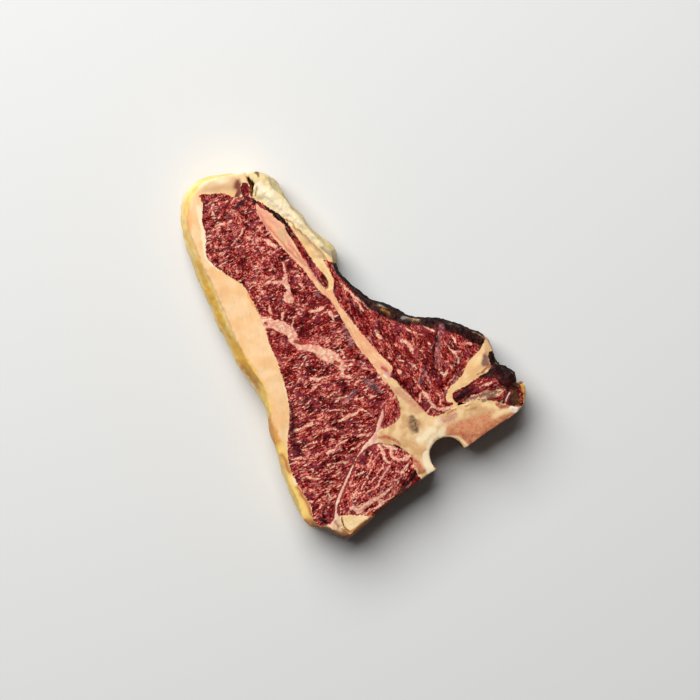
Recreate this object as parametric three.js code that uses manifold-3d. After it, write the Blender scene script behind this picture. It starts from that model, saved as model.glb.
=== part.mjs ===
// A raw T-bone steak, dry-aged, lying on one cut face. Millimetres, +Z up.
// X runs along the sawn backbone edge, from the spinous tip towards the vertebral body.
// Y runs from that edge towards the thin end. Z is the thickness, so both cut faces are level.

import * as THREE from 'three';
import { mergeVertices } from 'three/addons/utils/BufferGeometryUtils.js';
import Module from 'manifold-3d';

const wasm = await Module();
wasm.setup();

// Driving dimensions
const thickness = 36;
const clearance = 0.3;
const canalRadius = 11.9;
const canalCentre = [16.5, -122.3];
const creviceDepth = 14;
const outlineStep = 3.5;
const silhouetteStep = 4.8;
const reliefCell = 6;
const spare = 8;
const canalSegments = 36;
const weldDistance = 1e-4;

// The side is widest at the waist and slopes in above and below it
const waist = 11;
const sideLevels = [0, 4, waist, 19, 26, 31, 34.5, thickness + spare];
const undercut = 0.35;
const slopePower = 1.7;

// Lumps on the outside: none on the sawn edge, most on the dried side of the loin
const lumps = { wave: 9, shallow: 0.4, deep: 0.9, driedFrom: 20, sawnBelow: -120 };

// Slow unevenness of the cut face: depth and length of its two waves
const unevenness = { long: 0.35, short: 0.2, alongX: 17, alongY: 23, diagonal: 9.5, phase: 1.1 };

// Silhouette of the whole steak, anticlockwise: x, y and how far the top rim sits inside it
const silhouette = [
  [-23, 123, 9.5], [-35, 105.5, 8], [-49.5, 60, 10.5], [-60.5, 6, 8.5], [-60.5, -12, 6.5],
  [-64.5, -27, 4], [-71.5, -42, 3.5], [-88, -94.5, 3.5], [-87, -105.5, 2], [-80, -114, 3.5],
  [-74.5, -127, 4], [-58.5, -128, 4], [-44.5, -127, 4], [-3.5, -126.5, 2], [5, -125.5, 0],
  [53, -127, 0], [74.5, -128, 0.5], [84.5, -122, 1.5], [88, -114.5, 1.5], [83, -114, 1.5],
  [86.5, -107.5, 2], [82, -94.5, 1.5], [86, -75.5, 2], [70, -48.5, 2.5], [54.5, -33.5, 2],
  [47.5, -20.5, 2.5], [39, -6.5, 2.5], [34.5, 22, 2.5], [41, 32.5, 3.5], [39.5, 47, 3.5],
  [36, 58, 2], [37, 65.5, 2], [36, 77.5, 2.5], [36.5, 88, 3.5], [38, 97.5, 4],
  [33, 106, 3.5], [23.5, 112, 2], [12, 120.5, 4], [-1, 127.5, 6.5], [-13.5, 128, 8.5],
];

// How the cut face of each tissue swells above the level face, and over what width it does
const swell = {
  muscle: { crown: 1.1, rim: -0.3, reach: 12 },
  smallMuscle: { crown: 0.5, rim: -0.3, reach: 5 },
  bone: { crown: 0.3, rim: 0.2, reach: 6 },
  fat: { crown: 0.2, rim: -0.5, reach: 8 },
  suet: { crown: 0.9, rim: -1.2, reach: 7 },
  seam: { crown: -0.4, rim: -0.5, reach: 3 },
};

const materials = {
  muscle: { color: 0x6e1f22, roughness: 0.38 },
  bone: { color: 0xe6cb98, roughness: 0.55 },
  capFat: { color: 0xf0c890, roughness: 0.5 },
  suet: { color: 0xefe0b4, roughness: 0.6 },
  seamFat: { color: 0xf0bf98, roughness: 0.5 },
  sinew: { color: 0xe8d8d0, roughness: 0.3 },
};

// Each piece in the order in which it is cut: later ones fill up to those before them.
// The outlines of the fats run under their neighbours, which trim them.
const pieces = [
  {
    name: 't_bone', swell: swell.bone, material: materials.bone,
    outline: [
      [15, -57.5], [18, -58], [19.5, -68], [21.5, -84.5], [23.5, -95.5], [33, -99], [43.5, -101],
      [56.5, -106], [73.5, -125.5], [81, -129], [78, -135], [1.5, -133.5], [-6.5, -129.5],
      [-6.5, -117.5], [-3, -107.5], [-6.5, -97], [-14, -88], [-11, -82.5], [-1, -84], [8, -82],
      [13, -72.5],
    ],
  },
  {
    name: 'strip_loin', swell: swell.muscle, material: materials.muscle,
    outline: [
      [-10, 117.5], [-3.5, 113], [3.5, 108.5], [8, 101.5], [15.5, 97], [18.5, 91], [15, 87.5],
      [12.5, 66.5], [15.5, 32], [15, 17.5], [17, 8], [14.5, -14.5], [13, -25], [13, -50.5],
      [9.5, -67], [1, -70], [-7.5, -75], [-14.5, -80], [-25, -82], [-43, -90], [-64, -102],
      [-71, -109], [-78.5, -110], [-81.5, -104], [-77, -93.5], [-75.5, -81], [-73, -66.5],
      [-66.5, -54.5], [-48.5, -33], [-37, -7], [-33, 8.5], [-28.5, 20.5], [-23.5, 43.5],
      [-23, 52], [-27.5, 64], [-30.5, 81], [-22.5, 92.5], [-18, 103], [-11, 111],
    ],
  },
  {
    name: 'tenderloin', swell: swell.muscle, material: materials.muscle,
    outline: [
      [30, 32.5], [34, 26.5], [40.5, 22], [38.5, 12], [43, -5], [60, -35], [74.5, -49.5],
      [85.5, -66], [85, -74.5], [77, -79], [65.5, -81], [56, -86], [44.5, -87.5], [37.5, -93],
      [41, -98], [23.5, -95.5], [21.5, -84.5], [19.5, -68], [17.5, -57.5], [23, -54],
      [21.5, -40], [22, 10], [27, 16.5], [29.5, 25.5],
    ],
  },
  {
    name: 'flank_strip', swell: swell.smallMuscle, material: materials.muscle,
    outline: [
      [19, 90.5], [22, 82.5], [26, 71], [25.5, 60], [24, 33.5], [24, 20], [20, 15], [20, 40.5],
      [23.5, 68], [21.5, 77.5], [17.5, 87.5],
    ],
  },
  {
    name: 'tendon', swell: swell.seam, material: materials.sinew,
    outline: [[78, -113], [74, -113.5], [67, -118], [67.5, -120], [71.5, -117.5], [77.5, -114.5]],
  },
  {
    name: 'side_muscle', swell: swell.smallMuscle, material: materials.muscle,
    outline: [
      [80.5, -84.5], [86.5, -89], [88.5, -99], [92.5, -107], [83.5, -114.5], [81.5, -120.5],
      [74.5, -127.5], [66, -118.5], [61.5, -110.5], [42, -97], [44.5, -91.5], [53.5, -93],
      [65, -93.5], [74, -94],
    ],
  },
  {
    name: 'spine_tip', swell: swell.bone, material: materials.bone,
    outline: [[-65, -111.5], [-58, -116.5], [-50.5, -123], [-57, -125], [-67, -125], [-68, -118.5]],
  },
  {
    name: 'spine_muscle', swell: swell.muscle, material: materials.muscle,
    outline: [
      [-12.5, -90.5], [-3, -107.5], [-6.5, -117.5], [-5.5, -130], [-29.5, -132], [-44.5, -132],
      [-49, -123.5], [-59, -115.5], [-65.5, -110], [-42.5, -94], [-30, -87.5], [-19, -87.5],
    ],
  },
  {
    name: 'bone_muscle', swell: swell.smallMuscle, material: materials.muscle,
    outline: [
      [13, -58.5], [14, -63], [9.5, -80], [5, -83], [-4, -83.5], [-6.5, -81], [0, -76],
      [2.5, -71], [8.5, -68],
    ],
  },
  {
    name: 'cap_muscle', swell: swell.smallMuscle, material: materials.muscle,
    outline: [[15.5, 105], [19, 106], [21, 103.5], [19.5, 99], [16.5, 96.5], [13.5, 97.5]],
  },
  {
    name: 'chain_fat', swell: swell.fat, material: materials.capFat,
    outline: [
      [84.5, -69], [92.5, -72], [93, -84], [75.5, -97.5], [45.5, -97], [41, -101.5],
      [30, -96.5], [34, -89], [69, -78.5],
    ],
  },
  {
    name: 'wedge_fat', swell: swell.fat, material: materials.suet,
    outline: [
      [26.5, 70.5], [29, 65.5], [31, 55.5], [32, 46], [33.5, 37], [35, 29.5], [35.5, 21],
      [31, 12.5], [24, 13], [19, 14.5], [19, 23.5], [21.5, 47], [23, 64],
    ],
  },
  {
    name: 'kidney_fat', swell: swell.suet, material: materials.suet,
    outline: [
      [18.5, 93], [21, 98], [25, 101.5], [24, 107.5], [26, 115.5], [38, 110], [46.5, 95.5],
      [44, 63], [49.5, 34], [43, 20.5], [36, 19], [32.5, 28], [27, 43], [24.5, 61.5], [21, 79.5],
    ],
  },
  {
    name: 'seam_fat', swell: swell.seam, material: materials.seamFat,
    outline: [
      [16, 90], [24, 80.5], [26, 45], [24, 6], [28, -25], [26.5, -55], [18, -61.5], [8.5, -56],
      [12.5, 7.5], [7.5, 70.5],
    ],
  },
  {
    name: 'spine_seam', swell: swell.seam, material: materials.seamFat,
    outline: [
      [9, -67.5], [-11, -92.5], [-21.5, -89], [-64, -111], [-69.5, -118], [-75.5, -114],
      [-71.5, -105.5], [-40, -84], [-12, -72],
    ],
  },
  {
    name: 'end_fat', swell: swell.fat, material: materials.capFat,
    outline: [[89, -111], [92.5, -117.5], [86, -126], [73.5, -128], [78, -123], [82, -113]],
  },
  {
    name: 'fat_cap', swell: swell.fat, material: materials.capFat,
    outline: [
      [30, 116.5], [20.5, 98.5], [17, 90], [-4, 96], [-20, 75], [-19, 36], [-39.5, -33],
      [-68, -70], [-72.5, -103], [-61.5, -111], [-44, -131], [-59, -140.5], [-83.5, -134.5],
      [-104, -106], [-72.5, 34.5], [-21.5, 139],
    ],
  },
];

// Dark crevice where the thin end of the fat cap meets the kidney fat
const crevice = [
  [23.5, 108], [24.5, 104], [22, 99], [17.5, 94], [16.5, 95], [20.5, 100], [22, 104.5],
];

function spacedPoints(controls, step) {
  const points = controls.map(([x, y, z = 0]) => new THREE.Vector3(x, y, z));
  const curve = new THREE.CatmullRomCurve3(points, true);
  const count = Math.max(8, Math.round(curve.getLength() / step));
  const spaced = curve.getSpacedPoints(count).slice(0, count);
  if (THREE.ShapeUtils.area(spaced) < 0) {
    spaced.reverse();
  }
  return spaced;
}

function outwardNormals(outline) {
  return outline.map((_, i) => {
    const before = outline[(i + outline.length - 1) % outline.length];
    const after = outline[(i + 1) % outline.length];
    return new THREE.Vector2(after.y - before.y, before.x - after.x).normalize();
  });
}

function grown(outline, distance) {
  const normals = outwardNormals(outline);
  return outline.map((point, i) => {
    const moved = new THREE.Vector2(point.x, point.y);
    return moved.addScaledVector(normals[i], distance);
  });
}

function toSolid(geometry) {
  const bare = geometry.clone();
  bare.deleteAttribute('normal');
  bare.deleteAttribute('uv');
  const merged = mergeVertices(bare, weldDistance);
  return new wasm.Manifold(new wasm.Mesh({
    numProp: 3,
    vertProperties: merged.attributes.position.array,
    triVerts: Uint32Array.from(merged.index.array),
  }));
}

function toGeometry(solid) {
  const mesh = solid.getMesh();
  const geometry = new THREE.BufferGeometry();
  const corners = new Float32Array(mesh.vertProperties);
  const faces = new Uint32Array(mesh.triVerts);
  geometry.setAttribute('position', new THREE.BufferAttribute(corners, 3));
  geometry.setIndex(new THREE.BufferAttribute(faces, 1));
  geometry.computeVertexNormals();
  return geometry;
}

function extruded(outline, depth, steps) {
  const shape = new THREE.Shape(outline.map((point) => new THREE.Vector2(point.x, point.y)));
  return new THREE.ExtrudeGeometry(shape, { depth, steps, bevelEnabled: false });
}

function prism(outline, bottom, top) {
  const geometry = extruded(outline, top - bottom, 1);
  geometry.translate(0, 0, bottom);
  return toSolid(geometry);
}

// Share of the slope that the side has used up at a height
function slopeAt(height) {
  if (height >= thickness) {
    return 1;
  }
  if (height >= waist) {
    return ((height - waist) / (thickness - waist)) ** slopePower;
  }
  return undercut * ((waist - height) / waist) ** 2;
}

function lumpDepth(x, y) {
  if (y < lumps.sawnBelow) {
    return 0;
  }
  return x > lumps.driedFrom ? lumps.deep : lumps.shallow;
}

// Two crossing waves that lean as they climb the side
function lumpAt(x, y, z) {
  const across = Math.sin((x + 0.7 * y) / lumps.wave + z / 6);
  const along = Math.sin((y - 0.6 * x) / (0.7 * lumps.wave) - z / 9);
  return lumpDepth(x, y) * across * along;
}

// The outside of the whole steak, open-ended above the upper cut face
function outerForm() {
  const outline = spacedPoints(silhouette, silhouetteStep);
  const normals = outwardNormals(outline);
  const key = (x, y) => `${x.toFixed(3)},${y.toFixed(3)}`;
  const places = new Map(outline.map((point, i) => [key(point.x, point.y), i]));
  const steps = sideLevels.length - 1;
  const geometry = extruded(outline, steps, steps);
  const position = geometry.attributes.position;
  for (let v = 0; v < position.count; v += 1) {
    const x = position.getX(v);
    const y = position.getY(v);
    const height = sideLevels[Math.round(position.getZ(v))];
    const i = places.get(key(x, y));
    const inset = Math.max(0, outline[i].z) * slopeAt(height) - lumpAt(x, y, height);
    position.setXYZ(v, x - inset * normals[i].x, y - inset * normals[i].y, height);
  }
  return toSolid(geometry);
}

function distanceTo(outline, x, y) {
  let nearest = Infinity;
  for (const point of outline) {
    nearest = Math.min(nearest, Math.hypot(point.x - x, point.y - y));
  }
  return nearest;
}

// Height of the upper cut face, a little uneven, swollen away from a tissue's own outline
function faceHeight(x, y, outline, { crown, rim, reach }) {
  const { long, short, alongX, alongY, diagonal, phase } = unevenness;
  const slow = long * Math.sin(x / alongX + phase) * Math.sin(y / alongY);
  const wave = slow + short * Math.sin((x - y) / diagonal);
  const inside = Math.min(1, distanceTo(outline, x, y) / reach);
  const rise = inside * inside * (3 - 2 * inside);
  return thickness + wave + rim + (crown - rim) * rise;
}

// A block round an outline whose top carries the relief of the cut face
function faceBlock(outline, form) {
  const box = new THREE.Box2().setFromPoints(outline).expandByScalar(2);
  const size = box.getSize(new THREE.Vector2());
  const centre = box.getCenter(new THREE.Vector2());
  const columns = Math.ceil(size.x / reliefCell);
  const rows = Math.ceil(size.y / reliefCell);
  const geometry = new THREE.BoxGeometry(size.x, size.y, thickness, columns, rows, 1);
  geometry.translate(centre.x, centre.y, thickness / 2);
  const position = geometry.attributes.position;
  for (let v = 0; v < position.count; v += 1) {
    if (position.getZ(v) > thickness / 2) {
      position.setZ(v, faceHeight(position.getX(v), position.getY(v), outline, form));
    }
  }
  return toSolid(geometry);
}

// Scraps that a cut leaves loose are dropped
function largestBody(solid) {
  const bodies = solid.decompose();
  bodies.sort((a, b) => b.volume() - a.volume());
  return bodies[0];
}

function spinalCanal() {
  const height = thickness + 2 * spare;
  const geometry = new THREE.CylinderGeometry(canalRadius, canalRadius, height, canalSegments);
  geometry.rotateX(Math.PI / 2);
  geometry.translate(canalCentre[0], canalCentre[1], thickness / 2);
  return toSolid(geometry);
}

const steak = new THREE.Group();
const outside = outerForm().subtract(spinalCanal());
const crack = prism(spacedPoints(crevice, outlineStep), thickness - creviceDepth, thickness + spare);
const taken = [];

for (const piece of pieces) {
  const outline = spacedPoints(piece.outline, outlineStep);
  const column = prism(outline, -spare, thickness + spare);
  let solid = faceBlock(outline, piece.swell).intersect(outside).intersect(column);
  for (const neighbour of taken) {
    solid = solid.subtract(neighbour);
  }
  solid = largestBody(solid.subtract(crack));
  taken.push(prism(grown(outline, clearance), -spare, thickness + spare));
  const material = new THREE.MeshStandardMaterial({ ...piece.material, metalness: 0 });
  const mesh = new THREE.Mesh(toGeometry(solid), material);
  mesh.name = piece.name;
  steak.add(mesh);
}

export default steak;
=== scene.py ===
import math
import bmesh
import bpy
import numpy as np
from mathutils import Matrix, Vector, noise
from mathutils.bvhtree import BVHTree
from mathutils.kdtree import KDTree


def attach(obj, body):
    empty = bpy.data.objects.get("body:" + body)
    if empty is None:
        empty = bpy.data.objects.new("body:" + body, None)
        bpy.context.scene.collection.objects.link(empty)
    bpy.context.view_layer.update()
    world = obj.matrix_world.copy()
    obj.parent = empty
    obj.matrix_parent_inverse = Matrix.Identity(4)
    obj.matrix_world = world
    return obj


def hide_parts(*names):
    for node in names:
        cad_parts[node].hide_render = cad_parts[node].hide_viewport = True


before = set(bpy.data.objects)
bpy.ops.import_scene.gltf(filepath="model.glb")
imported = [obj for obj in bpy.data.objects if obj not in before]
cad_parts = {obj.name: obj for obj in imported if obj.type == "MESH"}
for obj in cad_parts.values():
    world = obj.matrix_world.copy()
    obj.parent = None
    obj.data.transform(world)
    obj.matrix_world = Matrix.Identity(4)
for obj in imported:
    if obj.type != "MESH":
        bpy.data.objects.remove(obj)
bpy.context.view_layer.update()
print("frame loaded")

mm = 0.001  # all shapes below are worked out in millimetres and stored in metres

# The whole steak
steak = {
    "level": 36.0,  # the height of the upper cut face before it swells
    "layer": 1.5,  # the outside is cut into rows this high
    "gap": 0.3,  # the slit between the CAD pieces, which each piece fills up to its middle
    "round": 1.8,  # how far in from the outside a cut face is softened
    "roundPasses": 5,
    "skinPasses": 8,
}


def colour(red, green, blue):  # a screen colour from 0 to 255 as the shaders want it
    linear = [((v / 255 + 0.055) / 1.055) ** 2.4 if v > 10 else v / 3294.6 for v in (red, green, blue)]
    return (*linear, 1.0)


# What several pieces share: their finish, the size of their mesh squares, how their cut face swells from
# rim to crown over reach, and the muscles' dark rind, as a skin from its darkest to its lightest colour
bigMuscle = {"finish": "flesh", "slot": "red_meat", "cell": 0.75, "crown": 1.1, "rim": -0.3, "reach": 12}
smallMuscle = {**bigMuscle, "crown": 0.5, "reach": 5}
capFat = {"finish": "fat", "slot": "cap_fat", "cell": 0.9, "crown": 0.2, "rim": -0.3, "reach": 8}
suet = {"finish": "fat", "slot": "suet", "cell": 0.8, "crown": 0.9, "rim": -1.2, "reach": 7}
seam = {"finish": "fat", "slot": "seam_fat", "cell": 0.75, "crown": -0.1, "rim": -0.3, "reach": 3}
driedRind = {"skin": (colour(10, 7, 6), colour(46, 24, 18)), "fleck": colour(122, 84, 50)}

# One entry for each piece; a note stands where a word first comes up
pieces = {
    "strip_loin": {
        **bigMuscle, **driedRind,
        "lumps": (0.4, 9, 0.2, 3),  # depth and size of the outside's large lumps, and of its small ones
        "fibre": (-12, 2.6),  # the way the fibres run in degrees, and how long they are for their width
        "pale": 0.95,  # how strongly pale flecks show
        "tone": -0.016, "contrast": 1.2, "patchy": 0.3,  # lighter as a whole, by fibre and by patch
        "even": (-10, 25),  # between these heights in y the grain stops running one way
    },
    "tenderloin": {
        **bigMuscle, **driedRind, "lumps": (1.1, 7, 0.6, 2.6), "fibre": (75, 1.8),
        "pale": 0.45, "tone": -0.028, "contrast": 0.95, "patchy": 0.25,
    },
    "flank_strip": {
        **smallMuscle, **driedRind, "lumps": (0.4, 9, 0.2, 3), "fibre": (82, 3.5),
        "pale": 0.3, "tone": -0.035, "contrast": 0.95, "patchy": 0.25,
    },
    "side_muscle": {
        **smallMuscle, **driedRind, "lumps": (1.0, 6, 0.7, 2.4), "fibre": (-8, 2.6),
        "pale": 0.4, "tone": -0.05, "contrast": 1.0, "patchy": 0.3,
    },
    "spine_muscle": {
        **bigMuscle, "lumps": (0.3, 9, 0.2, 3), "fibre": (10, 2.2),
        "pale": 0.95, "tone": 0.006, "contrast": 1.2, "patchy": 0.3,
        "skin": (colour(74, 30, 20), colour(150, 90, 46)), "fleck": colour(186, 128, 66),
    },
    "bone_muscle": {
        **smallMuscle, **driedRind, "lumps": (0.3, 9, 0.2, 3), "fibre": (40, 2.0),
        "pale": 0.5, "tone": 0.0, "contrast": 1.0, "patchy": 0.3,
    },
    "cap_muscle": {
        **smallMuscle, **driedRind, "cell": 0.6, "lumps": (0.3, 9, 0.2, 3), "fibre": (0, 2.0),
        "pale": 0.3, "tone": -0.02, "contrast": 0.8, "patchy": 0.3,
    },
    "t_bone": {
        "finish": "bone", "slot": "bone", "cell": 0.9, "crown": 0.3, "rim": -0.1, "reach": 6,
        "lumps": (0.25, 8, 0.15, 2.5),
        "tones": (colour(216, 168, 114), colour(244, 206, 152)),  # the darker and the lighter of the cut face
        "skin": (colour(112, 54, 32), colour(196, 136, 84)), "rough": 0.5,
    },
    "spine_tip": {
        "finish": "bone", "slot": "bone", "cell": 0.75, "crown": 0.3, "rim": 0.2, "reach": 6,
        "lumps": (0.3, 8, 0.2, 3), "tones": (colour(244, 206, 148), colour(254, 226, 178)),
        "skin": (colour(124, 66, 32), colour(200, 136, 72)), "rough": 0.45,
    },
    "tendon": {
        "finish": "bone", "slot": "sinew", "cell": 0.5, "crown": -0.4, "rim": -0.5, "reach": 3,
        "lumps": (0.3, 9, 0.2, 3), "tones": (colour(150, 128, 122), colour(226, 214, 208)),
        "skin": (colour(120, 90, 80), colour(190, 170, 160)), "rough": 0.28,
        "lean": 0.9,  # the neighbours' colours come over its rim by so much
    },
    "chain_fat": {
        **capFat, "lumps": (0.7, 8, 0.3, 3), "fibre": (-10, 4), "rough": 0.42,
        "size": 8, "tones": (colour(244, 192, 132), colour(254, 216, 158)),  # size of the patches of both
        "streak": 0.3, "streakColour": colour(226, 170, 110), "fleck": colour(110, 66, 36),
        "skin": (colour(140, 84, 40), colour(214, 158, 84)),
    },
    "wedge_fat": {
        **suet, "lumps": (0.6, 8, 0.3, 3), "fibre": (82, 5), "size": 8, "rough": 0.4,
        "relief": (0.1, 0.5),  # depth of the cut face's fine and broad bumps
        "tones": (colour(244, 200, 138), colour(254, 224, 168)),
        "streak": 0.35, "streakColour": colour(228, 178, 118), "fleck": colour(170, 120, 70),
        "skin": (colour(190, 140, 80), colour(236, 200, 130)),
    },
    "kidney_fat": {
        **suet, "lumps": (1.3, 10, 0.5, 3.5), "fibre": (82, 3), "size": 9, "rough": 0.42,
        "relief": (0.45, 1.1), "tones": (colour(236, 208, 148), colour(248, 234, 194)),
        "lobes": (8.5, 0.22, colour(206, 172, 116)),  # size, and strength and colour of their membranes
        "streak": 0.35, "streakColour": colour(224, 196, 140), "fleck": colour(176, 136, 78),
        "skin": (colour(206, 172, 108), colour(244, 226, 172)),
    },
    "seam_fat": {
        **seam, "lumps": (0.3, 9, 0.2, 3), "fibre": (90, 6), "size": 7, "rough": 0.38,
        "tones": (colour(246, 182, 134), colour(255, 208, 156)),
        "streak": 0.45, "streakColour": colour(228, 140, 112), "fleck": colour(170, 100, 70),
        "skin": (colour(190, 110, 80), colour(226, 160, 120)),
    },
    "spine_seam": {
        **seam, "lumps": (0.3, 9, 0.2, 3), "fibre": (25, 6), "size": 6, "rough": 0.36, "lean": 1.05,
        "tones": (colour(246, 190, 160), colour(255, 222, 194)),
        "streak": 0.45, "streakColour": colour(224, 136, 118), "fleck": colour(170, 100, 70),
        "skin": (colour(150, 86, 50), colour(214, 150, 90)),
    },
    "end_fat": {
        **capFat, "cell": 0.75, "rim": -0.5, "lumps": (0.7, 6, 0.3, 2.6), "fibre": (60, 3),
        "size": 5, "rough": 0.4, "tones": (colour(176, 112, 44), colour(226, 168, 78)),
        "streak": 0.3, "streakColour": colour(140, 84, 36), "fleck": colour(80, 44, 22),
        "skin": (colour(110, 62, 28), colour(206, 144, 66)),
    },
    "fat_cap": {
        **capFat, "lumps": (1.2, 16, 0.45, 4.5), "fibre": (68, 7), "size": 11, "rough": 0.42,
        "tones": (colour(249, 198, 140), colour(255, 214, 164)),
        "streak": 0.25, "streakColour": colour(240, 180, 116), "fleck": colour(196, 146, 84),
        "skin": (colour(246, 196, 94), colour(254, 222, 134)), "blotchColour": colour(254, 236, 188),
    },
}

# The colour that each tissue gives the frayed rim of the one beside it
rimColours = {
    "strip_loin": colour(146, 48, 46),
    "tenderloin": colour(138, 42, 42),
    "flank_strip": colour(122, 36, 36),
    "side_muscle": colour(120, 40, 36),
    "spine_muscle": colour(150, 56, 52),
    "bone_muscle": colour(150, 54, 50),
    "cap_muscle": colour(140, 50, 40),
    "t_bone": colour(228, 196, 148),
    "spine_tip": colour(235, 205, 150),
    "tendon": colour(225, 210, 200),
    "chain_fat": colour(238, 196, 142),
    "wedge_fat": colour(236, 204, 150),
    "kidney_fat": colour(244, 228, 180),
    "seam_fat": colour(240, 184, 144),
    "spine_seam": colour(232, 170, 140),
    "end_fat": colour(190, 130, 60),
    "fat_cap": colour(246, 202, 152),
}

# The stains by name, and one painted sheen
palette = {
    "gold": colour(238, 182, 58),
    "blush": colour(246, 172, 106),
    "tan": colour(222, 180, 130),
    "amber": colour(216, 146, 62),
    "milk": colour(254, 234, 196),
    "bark": colour(112, 70, 40),
    "rust": colour(178, 78, 44),
    "olive": colour(206, 184, 106),
    "grey": colour(176, 158, 128),
    "black": colour(24, 17, 16),
    "dark": colour(62, 12, 16),
    "rose": colour(230, 156, 140),
    "flesh": colour(222, 130, 112),
    "white": colour(250, 240, 232),
    "red": colour(178, 50, 44),
    # a grey-purple painted sheen: the wet muscle's reflection of the light, laid on like a stain
    "haze": colour(148, 92, 94),
    "rind": colour(38, 19, 15),
    "shade": colour(204, 160, 136),
    "raw": colour(206, 112, 92),
    "ochre": colour(160, 98, 48),
    "beige": colour(222, 172, 138),
    "muscle": colour(112, 22, 26),
    "yellow": colour(250, 210, 112),
    "plum": colour(124, 84, 82),
    "spongy": colour(214, 122, 66),
    "bone": colour(250, 220, 164),
    "blood": colour(160, 56, 46),
    "moss": colour(118, 116, 84),
    "ash": colour(150, 130, 98),
    "soot": colour(66, 54, 44),
}

# Marbling and stains of each piece, as strokes: points of x, y and width in millimetres; a few stains are
# painted sheen. A stain also has a colour, how soft its rim is and, if it isn't the usual, how far down the
# outside it reaches
marks = {}

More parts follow.
